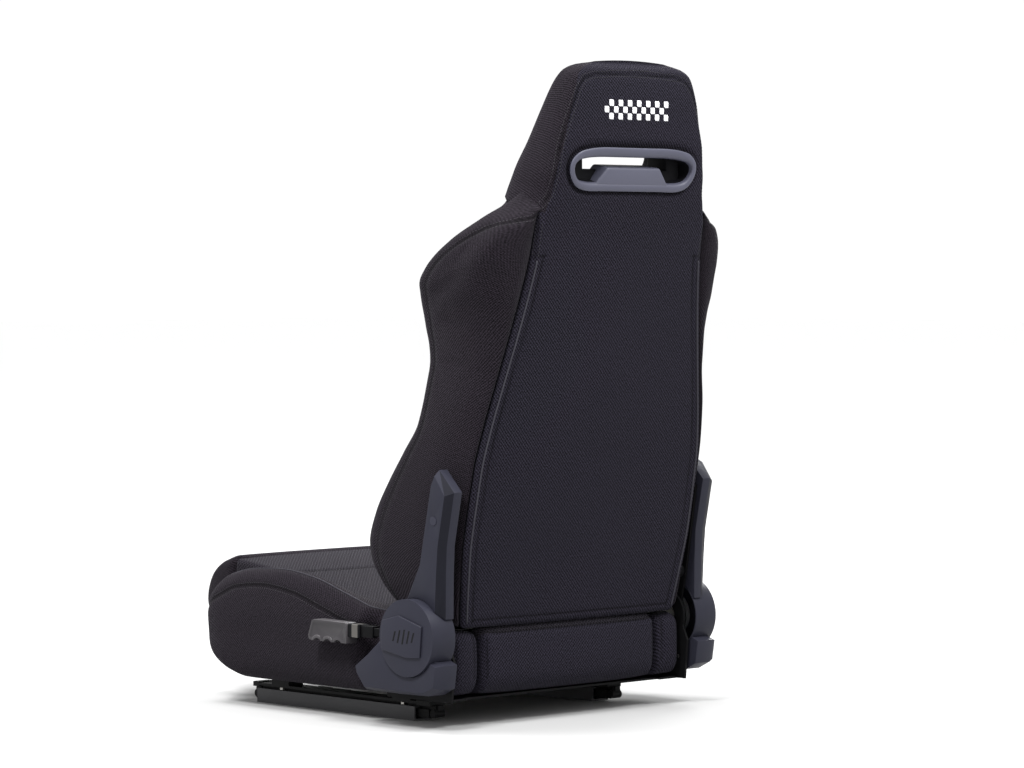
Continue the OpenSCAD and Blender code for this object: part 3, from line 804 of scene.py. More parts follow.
CREST = smooth(
    [
        [18, -104], [32, -130], [52, -157], [77, -180], [106, -189], [146, -182], [196, -162], [248, -136],
        [299, -113], [347, -109], [380, -111], [414, -121], [441, -135], [476, -149], [498, -152],
        [527, -139], [577, -94], [620, -48], [645, -26], [668, -12],
    ]
)
PAD_Y = smooth([[18, -48], [200, -62], [400, -50], [550, -60], [625, -74], [640, -66], [668, -46]])


def shell_ring(z):
    """Rear shell of the backrest and head: thin behind the foam, full depth at the head."""
    r = REAR_Y(z)
    share = [min(max((z - lo) / run, 0), 1) for lo, run in ((634, 14), (620, 30))]
    w = PANEL_X(z) if z < 655 else HEAD_X(z)
    f, g = (23 + (HEAD_FRONT(z) - 23) * a * a * (3 - 2 * a) for a in share)
    d = r - g
    half = [
        (0, f), (0.5 * w, f), (0.78 * w, (f + g) / 2 + 0.02 * d), (0.94 * w, g + 0.1 * d),
        (w, g + 0.32 * d), (w, r - 0.24 * d), (0.985 * w, r - 0.09 * d), (0.95 * w, r - 0.012 * d),
        (0.86 * w, r + 0.6), (0.45 * w, r + 1.2), (0, r + 1.4),
    ]
    ring = half + [(-x, y) for x, y in half[-2:0:-1]]
    return [(x, y, z) for x, y in ring]


def on_rear(obj, line):
    """Drops (x, height) pairs of the leaning back onto the rear face."""
    skin, out = tree(obj), []
    aim = Vector(back_to_world([[0, -1, 0]])[0] - back_to_world([[0, 0, 0]])[0]).normalized()
    line = np.asarray(line, float)
    s = np.concatenate([[0], np.cumsum(np.linalg.norm(np.diff(line, axis=0), axis=1))])
    t = np.linspace(0, s[-1], max(2, int(s[-1] / 4)))
    for x, z in zip(np.interp(t, s, line[:, 0]), np.interp(t, s, line[:, 1])):
        start = Vector(back_to_world([[x, 120, z]])[0])
        hit = skin.ray_cast(start, aim)[0]
        if hit is not None:
            out.append(hit)
    return np.array(out)


HEAD_SEAM_HALF = [
    (176, 572), (176, 640), (163, 668), (158, 699), (151, 744),
    (137, 789), (121, 826), (108, 840), (84, 846),
]
HEAD_SEAM = [(-x, z) for x, z in HEAD_SEAM_HALF] + [(0, 849)] + HEAD_SEAM_HALF[::-1]


def slot_outline(grow, count=96):
    """Rounded outline of the harness guide, in mm round its own centre, grown outwards."""
    half = [
        (0, -32), (58, -32), (98, -31.6), (117, -26), (129, -14), (134, 1), (131, 14), (118, 25.5),
        (97, 31), (70, 33.4), (30, 33.6),
    ]
    ring = [(x, z, 0) for x, z in half] + [(0, 33.6, 0)] + [(-x, z, 0) for x, z in half[:0:-1]]
    p = ring_points(ring, np.linspace(0, 1, count, endpoint=False))[:, :2]
    t = np.roll(p, -1, 0) - np.roll(p, 1, 0)
    n = np.stack([t[:, 1], -t[:, 0]], 1) / np.linalg.norm(t, axis=1, keepdims=True)
    return p + n * grow


class SEAT_OT_back_shell(bpy.types.Operator):
    """Rear panel and head section in one padded shell, with the harness opening cut through the head"""

    bl_idname = "seat.back_shell"
    bl_label = "Back shell and head"

    def execute(self, context):
        skin = Loft(shell_ring, 17, 863, back_to_world, 2, 4.0, (9, 12), (1, 3))

        def cloth(u, z):
            return 0 if z < 640 or 6.7 / 20 < u < 13.3 / 20 else 1

        obj = skin.build("back_shell", ["fabric_panel", "fabric_side"], cloth)
        co = coords(obj)
        crown = np.exp(-(((co[:, 2] - 0.44) / 0.22) ** 2)) * np.clip(1 - (co[:, 0] / 0.21) ** 2, 0, 1)
        back = normals(obj) @ np.array([0, math.cos(LEAN), -math.sin(LEAN)])
        set_coords(obj, co + normals(obj) * (crown * (back > 0.6) * 0.004)[:, None])
        bm = bmesh.new()
        ring = [bm.verts.new(back_to_world([[x, -140, SLOT_Z + z]])[0]) for x, z in slot_outline(-5, 72)]
        face = bm.faces.new(ring)
        made = bmesh.ops.extrude_face_region(bm, geom=[face])["geom"]
        step = Vector(back_to_world([[0, 260, 0]])[0] - back_to_world([[0, 0, 0]])[0])
        bmesh.ops.translate(bm, vec=step, verts=[g for g in made if isinstance(g, bmesh.types.BMVert)])
        bmesh.ops.recalc_face_normals(bm, faces=bm.faces)
        cutter = keep("cutter", bm, [])
        cut = obj.modifiers.new("opening", "BOOLEAN")
        cut.operation, cut.object, cut.solver = "DIFFERENCE", cutter, "EXACT"
        dg = context.evaluated_depsgraph_get()
        mesh = bpy.data.meshes.new_from_object(
            obj.evaluated_get(dg), preserve_all_data_layers=True, depsgraph=dg,
        )
        obj.modifiers.clear()
        obj.data = mesh
        bpy.data.objects.remove(cutter)
        PIECES.pop("cutter")
        seam = on_rear(obj, HEAD_SEAM)
        press(obj, [seam], 0.0018, 0.003)
        flap = [
            on_rear(obj, [(s * (PANEL_X(z) - 19), z) for z in np.linspace(26, 572, 110)]) for s in (-1, 1)
        ]
        foot = on_rear(obj, [(x, 30) for x in np.linspace(-204, 204, 60)])
        tick = [on_rear(obj, [(s * 158, 577), (s * 179, 575)]) for s in (-1, 1)]
        press(obj, [*flap, *tick, foot], 0.0011, 0.0026)
        # The deep seam round the harness guide also carries painted shade for the dark gap round the bezel.
        press(obj, [on_rear(obj, slot_line())], 0.0035, 0.0046)
        SEAMS["head_seam"] = seam
        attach(obj, "back")
        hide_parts("rear_panel", "head_pad")
        return {"FINISHED"}


def slot_line():
    """The seam round the harness guide, as (x, height) pairs of the leaning back."""
    p = slot_outline(2, 80)
    return [(x, SLOT_Z + z) for x, z in np.vstack([p, p[:1]])]


def wing_ring(z):
    """Outline of a back bolster at a height, recessed at the rear where the panel lies over it."""
    w, f, c = HALF_W(z) - 150.6, CREST(z), PAD_Y(z)
    d = 36 - f
    edge = (PANEL_X(z) + 1 - 150.6) / w
    share = [
        (0, 21.5), (edge * 0.6, 21.5), (edge - 0.015, 23), (edge + 0.02, 31),
        ((edge + 1) / 2 + 0.04 * (1 - edge), 35.5 - 0.03 * d), (1, 36 - 0.25 * d), (1.0, 36 - 0.58 * d),
        (0.965, 36 - 0.82 * d), (0.88, f + 0.055 * d), (0.73, f), (0.56, f + 0.05 * d),
        (0.3, (f + c) / 2 - 2), (0.02, c + 3),
    ]
    slope = min(max((z - 596) / 72, 0), 1) * 0.4
    return [(150.6 + w * a, b, z - slope * max(0, b + 12)) for a, b in share]


class SEAT_OT_wings(bpy.types.Operator):
    """Side bolsters of the backrest, from the hips to the shoulders"""

    bl_idname = "seat.wings"
    bl_label = "Back bolsters"

    def execute(self, context):
        skin = Loft(wing_ring, 17, 667, back_to_world, 2, 4.6, (14, 10), (2, 0))
        obj = skin.build(
            "back_wing_left", ["fabric_side", "fabric_knit"],
            lambda u, z: 1 if 10.7 / 13 < u < 12.6 / 13 else 0,
        )
        vs = np.linspace(30, 656, 150)
        shoulder = smooth(
            [[0, 7.15], [520, 7.15], [560, 6.9], [600, 6.2], [630, 5.1], [652, 3.9], [670, 3.4]]
        )
        front = skin.on(lambda z: shoulder(z) / 13, vs)
        inner, edge = skin.on(10.6 / 13, vs), skin.on(3.1 / 13, vs)
        swell(obj, 0.004, [front, inner, edge], 10)
        press(obj, [front, inner], None, 0.0045)
        press(obj, [edge], 0.0012, 0.003)
        right = twin(obj, "back_wing_right")
        SEAMS["wing_front"], SEAMS["wing_inner"] = front, inner
        for o, n in ((obj, "back_bolster_left"), (right, "back_bolster_right")):
            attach(o, "back")
            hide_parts(n)
        return {"FINISHED"}


class SEAT_OT_back_insert(bpy.types.Operator):
    """Knitted pads between the back bolsters"""

    bl_idname = "seat.back_insert"
    bl_label = "Back insert"

    def execute(self, context):
        for name, lo, hi, n in (
            ("back_insert_lower", 22, 330, "back_pad_lower"),
            ("back_insert_upper", 331.5, 639, "back_pad_upper"),
        ):

            def ring(z):
                c, w = PAD_Y(z), 149.5
                half = [
                    (w * 0.6, -1), (w, -3), (w + 0.4, c * 0.5), (w, c + 9), (w * 0.72, c + 2),
                    (w * 0.35, c - 1),
                ]
                outline = [(0, -1), *half, (0, c - 1), *((-x, y) for x, y in half[::-1])]
                return [(x, y, z) for x, y in outline]

            skin = Loft(ring, lo, hi, back_to_world, 2, 5.0, (9, 9), (0, 0))
            obj = skin.build(name, ["fabric_knit"])
            press(
                obj,
                [
                    skin.on(6.0 / 14, np.linspace(lo + 8, hi - 8, 60)),
                    skin.on(9.0 / 14, np.linspace(lo + 8, hi - 8, 60)),
                ],
                0.003,
            )
            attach(obj, "back")
            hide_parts(n)
        return {"FINISHED"}


# ---------- cushion ----------

SEAT_TOP = smooth([[-250, 222], [-180, 214], [-80, 199], [20, 183], [110, 170], [200, 160], [272, 152]])
BOL_TOP = smooth(
    [
        [-228, 140], [-222, 158], [-205, 183], [-175, 202], [-115, 214], [-56, 216], [14, 208], [94, 186],
        [172, 164], [238, 152],
    ]
)
BOL_LOW = smooth([[-228, 112], [-222, 88], [-205, 69], [-165, 50], [-135, 44], [238, 44]])
BOL_SEAM = smooth(
    [
        [-228, 132], [-205, 158], [-175, 172], [-139, 186], [-75, 192], [-9, 185], [60, 165], [127, 146],
        [238, 132],
    ]
)
BOL_WIDE = smooth([[-228, 0.66], [-222, 0.82], [-212, 0.92], [-196, 0.98], [-170, 1], [238, 1]])
INSERT_LOW = smooth([[-236, 78], [-190, 64], [-128, 44], [234, 44], [240, 118], [262, 130]])


class SEAT_OT_cushion_insert(bpy.types.Operator):
    """Knitted centre of the cushion with its cross seam"""

    bl_idname = "seat.cushion_insert"
    bl_label = "Cushion insert"

    def execute(self, context):
        def ring(y):
            t, b, w = SEAT_TOP(y), INSERT_LOW(y), 187
            low = [(w * 0.6, b), (w - 4, b + 1), (w, b + 8)]
            high = [(w, t - 12), (w - 2, t - 3), (w * 0.86, t - 0.5), (w * 0.45, t + 1)]
            half = low + high
            outline = [(0, b), *half, (0, t + 1.5), *((-x, z) for x, z in half[::-1])]
            return [(x, y, z) for x, z in outline]

        skin = Loft(ring, -236, 261, seat_to_world, 1, 4.6, (6, 8), (0, 0))
        obj = skin.build("cushion_insert", ["fabric_knit"])
        cross = np.vstack(
            [
                seat_to_world([[x, -105 - 0.0004 * x * x, SEAT_TOP(-105) + 1]])
                for x in np.linspace(-186, 186, 90)
            ]
        )
        press(obj, [cross], 0.0035)
        SEAMS["insert_cross"] = cross
        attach(obj, "seat")
        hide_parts("cushion_centre")
        return {"FINISHED"}


class SEAT_OT_front_roll(bpy.types.Operator):
    """Rounded roll under the knees"""

    bl_idname = "seat.front_roll"
    bl_label = "Front roll"

    def execute(self, context):
        nose = [
            [-238, 222.5], [-262, 218], [-283, 208], [-298, 194], [-307, 178], [-312, 160], [-312, 146],
            [-306, 130], [-298, 116], [-284, 100], [-262, 88], [-238, 79], [-237.4, 110], [-237.4, 180],
        ]

        def ring(x):
            b = 1.02 + 0.13 * (1 - (x / 188) ** 2)
            return [(x, -237 + (y + 237) * b, z) for y, z in nose]

        skin = Loft(ring, -187, 187, seat_to_world, 0, 4.2, (17, 17), (3, 3))
        obj = skin.build("front_roll", ["fabric_side"])
        ends = [
            skin.on(0.9 / 14, np.linspace(-170, 170, 60)),
            skin.on(10.6 / 14, np.linspace(-170, 170, 60)),
        ]
        swell(obj, 0.004, ends, 10)
        press(obj, ends[:1], 0.002)
        SEAMS["roll_top"] = ends[0]
        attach(obj, "seat")
        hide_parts("cushion_front_roll")
        return {"FINISHED"}


def bolster_ring(y):
    """Outline of a cushion bolster, narrower beside the recliner plate."""
    t, b, s, w = BOL_TOP(y), BOL_LOW(y), BOL_SEAM(y), BOL_WIDE(y)
    i = min(t - 2, SEAT_TOP(y) + 4)
    reach = 270 - 23.5 * min(max((y - 146) / 17, 0), 1)
    k = (reach - 191) / 79
    pts = [
        (191, b), (222, b), (250, b + 1), (263, b + 9), (269, b + (s - b) * 0.5), (269.5, s),
        (263, s + (t - s) * 0.62), (249, t - 0.5), (234, t - 0.5), (215, (t + i) / 2), (202, i),
        (191, i - 2),
    ]
    return [(191 + (x - 191) * w * k, y, z) for x, z in pts]


class SEAT_OT_cushion_bolsters(bpy.types.Operator):
    """Thigh bolsters with their gusset seam and piped crest"""

    bl_idname = "seat.cushion_bolsters"
    bl_label = "Cushion bolsters"

    def execute(self, context):
        skin = Loft(bolster_ring, -229, 237.5, seat_to_world, 1, 4.2, (20, 5), (3, 0))
        obj = skin.build("cushion_bolster_shell_left", ["fabric_side"])
        vs = np.linspace(-222, 232, 140)
        gusset, crest = skin.on(5 / 12, vs), skin.on(7.35 / 12, vs)
        swell(obj, 0.0035, [gusset, crest, skin.on(1.5 / 12, vs)], 10)
        press(obj, [gusset], 0.0022, 0.004)
        press(obj, [crest], 0.0008, 0.003)
        right = twin(obj, "cushion_bolster_shell_right")
        SEAMS["gusset"], SEAMS["thigh_crest"] = gusset, crest
        for o, n in ((obj, "cushion_bolster_left"), (right, "cushion_bolster_right")):
            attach(o, "seat")
            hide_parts(n)
        return {"FINISHED"}


def tail_profile(d, top):
    """Side outline of the cushion's rear pieces, inset by d, up to a top height."""
    low, axis = 49, AXIS_Z
    foot = [(-44, low), (20, low), (33 - d, low + 4), (41 - d, low + 20), (42.5 - d, low + 44)]
    crown = [
        (42 - d, top - 24), (40.5 - d, top - 12), (34 - d, top - 3.5), (22, top - 0.5), (11.5, top - 2),
    ]
    pts = foot + crown + [(10.5, axis - 9.5), (-20, axis - 11.5), (-44, axis - 12)]
    return [(AXIS_Y + y, z) for y, z in pts]


BLOCK_INSET = smooth([[-184, 5], [-176, 1], [-120, -0.5], [0, -1], [120, -0.5], [176, 1], [184, 5]])
TAIL_INSET = smooth([[189, 8], [197, 4.5], [217, 3], [238, 5.5], [246, 12]])
BLOCK_DIP = smooth(
    [
        [-184, -6], [-176, -1.5], [-160, 2.2], [-120, 4], [0, 4.6], [120, 4], [160, 2.2], [176, -1.5],
        [184, -6],
    ]
)


class SEAT_OT_rear_block(bpy.types.Operator):
    """Block at the rear of the cushion, with its knit strip, top seam and the two bolster ends"""

    bl_idname = "seat.rear_block"
    bl_label = "Cushion rear pieces"

    def execute(self, context):
        def ring(x):
            return [(x, y, z) for y, z in tail_profile(BLOCK_INSET(x), 147)]

        skin = Loft(ring, -184, 184, plain_to_world, 0, 3.6, (9, 9), (2, 2))
        obj = skin.build(
            "cushion_rear_cover", ["fabric_panel", "fabric_knit"],
            lambda u, x: 1 if 6.4 / 13 < u < 9.5 / 13 else 0,
        )
        xs = np.linspace(-180, 180, 120)
        top = skin.on(lambda x: (6.62 - BLOCK_DIP(x) * 0.06) / 13, xs)
        sides = [
            np.vstack([plain_to_world([[s * 177.5, AXIS_Y + 41.5, z]]) for z in np.linspace(60, 138, 40)])
            for s in (-1, 1)
        ]
        foot = skin.on(3.2 / 13, xs)
        swell(obj, 0.004, [top, foot, *sides], 12)
        press(obj, [top], 0.0024, 0.0032)
        press(obj, sides, 0.0014, 0.003)
        self.settle(obj, "cushion_rear_block", 0.8)

        def end_ring(x):
            d = TAIL_INSET(x)
            return [(x, y, z) for y, z in tail_profile(d, 146 - d * 0.7)]

        skin = Loft(end_ring, 188.5, 246, plain_to_world, 0, 3.2, (11, 13), (2, 1))
        end = skin.build("cushion_rear_tail_left", ["fabric_panel"])
        us = np.linspace(3.2, 8.4, 60) / 13
        edges = [np.vstack([skin.on(u, [x]) for u in us]) for x in (201, 237)]
        swell(end, 0.003, edges, 10)
        press(end, edges, 0.0016, 0.003)
        other = twin(end, "cushion_rear_tail_right")
        self.settle(end, "cushion_rear_end_left", 0.75)
        self.settle(other, "cushion_rear_end_right", 0.75)
        return {"FINISHED"}

    def settle(self, obj, cad_node, fill):
        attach(obj, "seat")
        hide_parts(cad_node)
        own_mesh(obj)


# ---------- trim ----------


class SEAT_OT_piping(bpy.types.Operator):
    """Piping beside the rear panel and along the cushion crests"""

    bl_idname = "seat.piping"
    bl_label = "Piping"

    def execute(self, context):
        r = context.scene.seat_sizes.piping
        back, lines = PIECES["back_shell"], []
        for s in (-1, 1):
            path = [(s * (PANEL_X(z) - 8), z) for z in np.linspace(26, 570, 110)]
            lines.append(lay(back, on_rear(back, path), r * 0.5)[0])
        obj = cord_piece("panel_piping", lines, r, "piping")
        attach(obj, "back")
        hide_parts("back_welts")
        bolster = PIECES["cushion_bolster_shell_left"]
        crest = lay(bolster, SEAMS["thigh_crest"], r * 0.3)[0]
        obj = cord_piece("thigh_piping", [crest, mirrored(crest)], r * 0.75, "piping")
        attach(obj, "seat")
        return {"FINISHED"}


class SEAT_OT_stitching(bpy.types.Operator):
    """Topstitching beside the seams"""

    bl_idname = "seat.stitching"
    bl_label = "Stitching"

    def execute(self, context):
        back, runs = PIECES["back_shell"], []
        for shift in (-0.0052, 0.0052):
            runs.append(lay(back, SEAMS["head_seam"], 0.0001, shift))
        wing = PIECES["back_wing_left"]
        for shift in (-0.0045, 0.0045):
            p, n = lay(wing, SEAMS["wing_front"], 0.0001, shift)
            runs += [(p, n), (mirrored(p), n * [-1, 1, 1])]
        p, n = lay(wing, SEAMS["wing_inner"], 0.0001, 0.004)
        runs += [(p, n), (mirrored(p), n * [-1, 1, 1])]
        stitch_piece("back_stitching", runs, "stitch_dark", "back")
        runs = []
        side = PIECES["cushion_bolster_shell_left"]
        for shift in (-0.0045, 0.0045):
            p, n = lay(side, SEAMS["gusset"], 0.0001, shift)
            runs += [(p, n), (mirrored(p), n * [-1, 1, 1])]
        insert = PIECES["cushion_insert"]
        runs.append(lay(insert, SEAMS["insert_cross"], 0.0001, 0.004))
        runs.append(lay(PIECES["front_roll"], SEAMS["roll_top"], 0.0001, 0.004))
        stitch_piece("cushion_stitching", runs, "stitch_dark", "seat")
        return {"FINISHED"}


# Section of the harness guide: how far outside its outline, and the depth along the back's own axis.
GUIDE_BEZEL = [
    (-4.5, 34), (-2.2, 39.5), (-0.6, 41.5), (0.2, 42.6), (-0.6, 43.6), (-3, 44.4),
    (-6.5, 44.6), (-9.5, 43.9), (-12, 41.8), (-13.2, 38.5),
]
GUIDE_TUNNEL = [(-14.5, 28), (-15.3, 8), (-14.5, -10), (-11.5, -36), (-10.2, -52)]
GUIDE_LIP = [(-9, -58), (-7.5, -61), (-5.8, -61.6), (-4.6, -60), (-4.4, -57), (-5, -45), (-6, -30)]


class SEAT_OT_harness_guide(bpy.types.Operator):
    """Moulded guide through the head: flared rear bezel, tunnel, front lip and the tongue at its foot"""

    bl_idname = "seat.harness_guide"
    bl_label = "Harness guide"

    def execute(self, context):
        section = [*GUIDE_BEZEL, *GUIDE_TUNNEL, *GUIDE_LIP]
        count = 128
        bm = bmesh.new()
        bmesh.ops.create_grid(bm, x_segments=count, y_segments=len(section) - 1, size=1)
        rings = [slot_outline(grow, count) for grow, _ in section]
        for v in bm.verts:
            i, j = round((v.co.x + 1) / 2 * count) % count, round((v.co.y + 1) / 2 * (len(section) - 1))
            x, z = rings[j][i]
            inner = min(max((-section[j][0] - 8) / 5, 0), 1)
            x, z = x * (1 + 0.03 * inner), z - 3.5 * inner * max(0, z) / 33
            v.co = back_to_world([[x, section[j][1], SLOT_Z + z]])[0]
        bmesh.ops.remove_doubles(bm, verts=bm.verts, dist=1e-6)
        edges = [e for e in bm.edges if e.is_boundary]
        bmesh.ops.bridge_loops(bm, edges=edges)
        bmesh.ops.recalc_face_normals(bm, faces=bm.faces)
        rear = back_to_world([[0, 36, SLOT_Z]])[0]
        out = Vector(back_to_world([[0, 37, SLOT_Z]])[0] - rear).normalized()
        for f in bm.faces:
            f.material_index = 1 if (f.calc_center_median() - Vector(rear)).dot(out) < 0 else 0
        guide = keep("harness_bezel", bm, ["plastic_guide", "plastic_black"])
        guide.modifiers.new("round", "SUBSURF").levels = 1
        guide.modifiers["round"].render_levels = 1
        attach(guide, "back")
        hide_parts("harness_guide_rear", "harness_guide_front")
        bm = bmesh.new()
        foot = SLOT_Z - 24
        shape = [(-79, 0), (79, 0), (56, 27.5), (-56, 27.5)]
        face = bm.faces.new([bm.verts.new(back_to_world([[x, 43.2, foot + z]])[0]) for x, z in shape])
        made = bmesh.ops.extrude_face_region(bm, geom=[face])["geom"]
        step = Vector(back_to_world([[0, -34, 0]])[0] - back_to_world([[0, 0, 0]])[0])
        bmesh.ops.translate(bm, vec=step, verts=[g for g in made if isinstance(g, bmesh.types.BMVert)])
        bmesh.ops.recalc_face_normals(bm, faces=bm.faces)
        bevel_edges(bm, list(bm.edges), 0.0035, 4)
        tongue = keep("harness_tongue", bm, ["plastic_guide"])
        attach(tongue, "back")
        return {"FINISHED"}


class SEAT_OT_harness_cavity(bpy.types.Operator):
    """Black block set in the belt passage inside the guide: painted shade for the dark seen through the
    opening
    """

    bl_idname = "seat.harness_cavity"
    bl_label = "Harness cavity"

    def execute(self, context):
        # Painted shade: a black block shaped to the dark part of the belt passage.
        bm = bmesh.new()
        shape = [
            (-116, 797), (116, 797), (116, 846), (89.5, 846), (89.5, 826.5), (-89.5, 826.5), (-89.5, 846),
            (-116, 846),
        ]
        face = bm.faces.new([bm.verts.new((x * MM, 0.378, z * MM)) for x, z in shape])
        made = bmesh.ops.extrude_face_region(bm, geom=[face])["geom"]
        bmesh.ops.translate(
            bm, vec=(0, 0.04, 0), verts=[g for g in made if isinstance(g, bmesh.types.BMVert)]
        )
        bmesh.ops.recalc_face_normals(bm, faces=bm.faces)
        bevel_edges(bm, list(bm.edges), 0.0015, 2)
        passage_shade = keep("harness_passage_shade", bm, ["plastic_black"])
        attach(passage_shade, "back")
        return {"FINISHED"}


class SEAT_OT_emblem(bpy.types.Operator):
    """Plain chequered strip embroidered on the head"""

    bl_idname = "seat.emblem"
    bl_label = "Chequered strip"

    def execute(self, context):
        lo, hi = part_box("head_emblem")
        back, bm = PIECES["back_shell"], bmesh.new()
        skin = tree(back)
        aim = Vector(back_to_world([[0, -1, 0]])[0] - back_to_world([[0, 0, 0]])[0]).normalized()
        cols, rows, half = 14, 3, (hi.x - lo.x) / 2 / MM
        cell = 2 * half / cols
        for i in range(cols):
            for j in range(rows):
                if (i + j) % 2:
                    continue
                x0, z0 = -half + i * cell, 796 - rows * cell / 2 + j * cell
                made = bmesh.ops.create_grid(bm, x_segments=5, y_segments=5, size=1)["verts"]
                for v in made:
                    a, b = v.co.x, v.co.y
                    x, z = x0 + (a + 1) / 2 * cell, z0 + (b + 1) / 2 * cell
                    at = skin.ray_cast(Vector(back_to_world([[x, 120, z]])[0]), aim)[0]
                    rise = 0.0011 * (1 - max(abs(a), abs(b)) ** 4) - 0.0001
                    v.co = at - aim * rise
        bmesh.ops.recalc_face_normals(bm, faces=bm.faces)
        if sum((f.normal.dot(aim) for f in bm.faces)) > 0:
            bmesh.ops.reverse_faces(bm, faces=bm.faces)
        uv = bm.loops.layers.uv.new("weave")
        for f in bm.faces:
            for l in f.loops:
                l[uv].uv = (l.vert.co.x, l.vert.co.z)
        bmesh.ops.solidify(bm, geom=bm.faces[:], thickness=0.0004)
        obj = keep("head_chequer", bm, ["thread"])
        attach(obj, "back")
        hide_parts("head_emblem")
        return {"FINISHED"}


# ---------- hard parts ----------


BADGE_BARS = ((-22, 15), (-12, 19), (-2, 22), (8, 19), (18, 15))


class SEAT_OT_covers(bpy.types.Operator):
    """Moulded covers at the recliners, with rounded edges, and painted shade on the rear bevels of the arm
    covers
    """

    bl_idname = "seat.covers"
    bl_label = "Recliner covers"

    def execute(self, context):
        for side in ("left", "right"):
            soften(
                f"base_cover_{side}", f"base_shroud_{side}", "plastic_slate", "seat",
                0.0036,
            )
            arm = soften(
                f"arm_cover_{side}", f"arm_shroud_{side}", "plastic_slate", "back", 0.0018,
            )
            # Painted shade: facets of each arm cover that face sideways and towards the rear take the darker
            # copy of the slate.
            arm.data.materials.append(FINISH["plastic_painted_shade"])
            for f in arm.data.polygons:
                if 0.3 < abs(f.normal.x) < 0.97 and f.normal.y > 0.2 and f.area > 4e-6:
                    f.material_index = 1
            soften(
                f"hub_cap_{side}", f"recliner_cap_{side}", "plastic_slate", "seat", 0.0016,
                30,
            )
        soften("cap_badges", "recliner_badges", "plastic_slate", "seat", 0.0013, 20, 4)
        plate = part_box("cap_badges")[1].x
        bm = bmesh.new()
        for s in (-1, 1):
            for y, tall in BADGE_BARS:
                made = bmesh.ops.create_cube(bm, size=1)["verts"]
                for v in made:
                    c = v.co
                    v.co = Vector(
                        (
                            (plate - 0.0001 + c.x * 0.0006) * s, (AXIS_Y + y + c.y * 3.2 + c.z * 5) * MM,
                            (AXIS_Z + 2 + c.z * tall) * MM,
                        )
                    )
        bmesh.ops.recalc_face_normals(bm, faces=bm.faces)
        bevel_edges(bm, list(bm.edges), 0.00012, 1)
        bars = keep("badge_bars", bm, ["plastic_black"], False)
        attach(bars, "seat")
        return {"FINISHED"}


class SEAT_OT_lever(bpy.types.Operator):
    """Recliner lever: black arm, metal ferrule and the scalloped grip with its raised rim"""

    bl_idname = "seat.lever"
    bl_label = "Recliner lever"

    def execute(self, context):
        soften("lever_arm", "lever_bar", "steel_black", "lever", 0.0009)
        collar = soften("lever_ferrule", "lever_collar", "plastic_black", "lever", 0.0016)
        lo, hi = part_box("lever_ferrule")
        cuts = [lo.y + (hi.y - lo.y) * k for k in (0.36, 0.86)]
        bm = bmesh.new()
        bm.from_mesh(collar.data)
        for y in cuts:
            bmesh.ops.bisect_plane(
                bm, geom=bm.verts[:] + bm.edges[:] + bm.faces[:], dist=1e-6, plane_co=(0, y, 0),
                plane_no=(0, 1, 0),
            )
        for f in bm.faces:
            f.material_index = 1 if cuts[0] < f.calc_center_median().y < cuts[1] else 0
        bm.to_mesh(collar.data)
        bm.free()
        collar.data.materials.append(FINISH["worn_metal"])
        bm = bmesh.new()
        bm.from_mesh(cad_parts["lever_grip"].data)
        bmesh.ops.remove_doubles(bm, verts=bm.verts, dist=2e-6)
        bmesh.ops.dissolve_limit(bm, angle_limit=math.radians(1.2), verts=bm.verts, edges=bm.edges)
        outer = [f for f in bm.faces if abs(f.normal.x) > 0.99]
        for f in outer:
            bmesh.ops.inset_region(bm, faces=[f], thickness=0.0042, depth=0)
            bmesh.ops.inset_region(bm, faces=[f], thickness=0.0008, depth=-0.0008)
        sharp = [e for e in bm.edges if len(e.link_faces) == 2 and e.calc_face_angle(0) > math.radians(60)]
        bevel_edges(bm, sharp, 0.0022, 4, True)
        bmesh.ops.triangulate(bm, faces=[f for f in bm.faces if len(f.verts) > 4])
        grip = keep("lever_handle", bm, ["plastic_grip"])
        grip.data.set_sharp_from_angle(angle=math.radians(40))
        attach(grip, "lever")
        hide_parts("lever_grip")
        return {"FINISHED"}


# ---------- stage ----------


# Name, place in metres, diameter and power in watts.
LIGHTS = (
    ("key", (-0.7, 1.9, 2.6), 0.9, 72),
    ("side", (3.0, 1.0, 4.1), 1.2, 260),
    ("rim", (-3.4, -1.2, 2.6), 1.6, 110),
    ("top", (0.6, -0.6, 3.9), 1.6, 150),
)


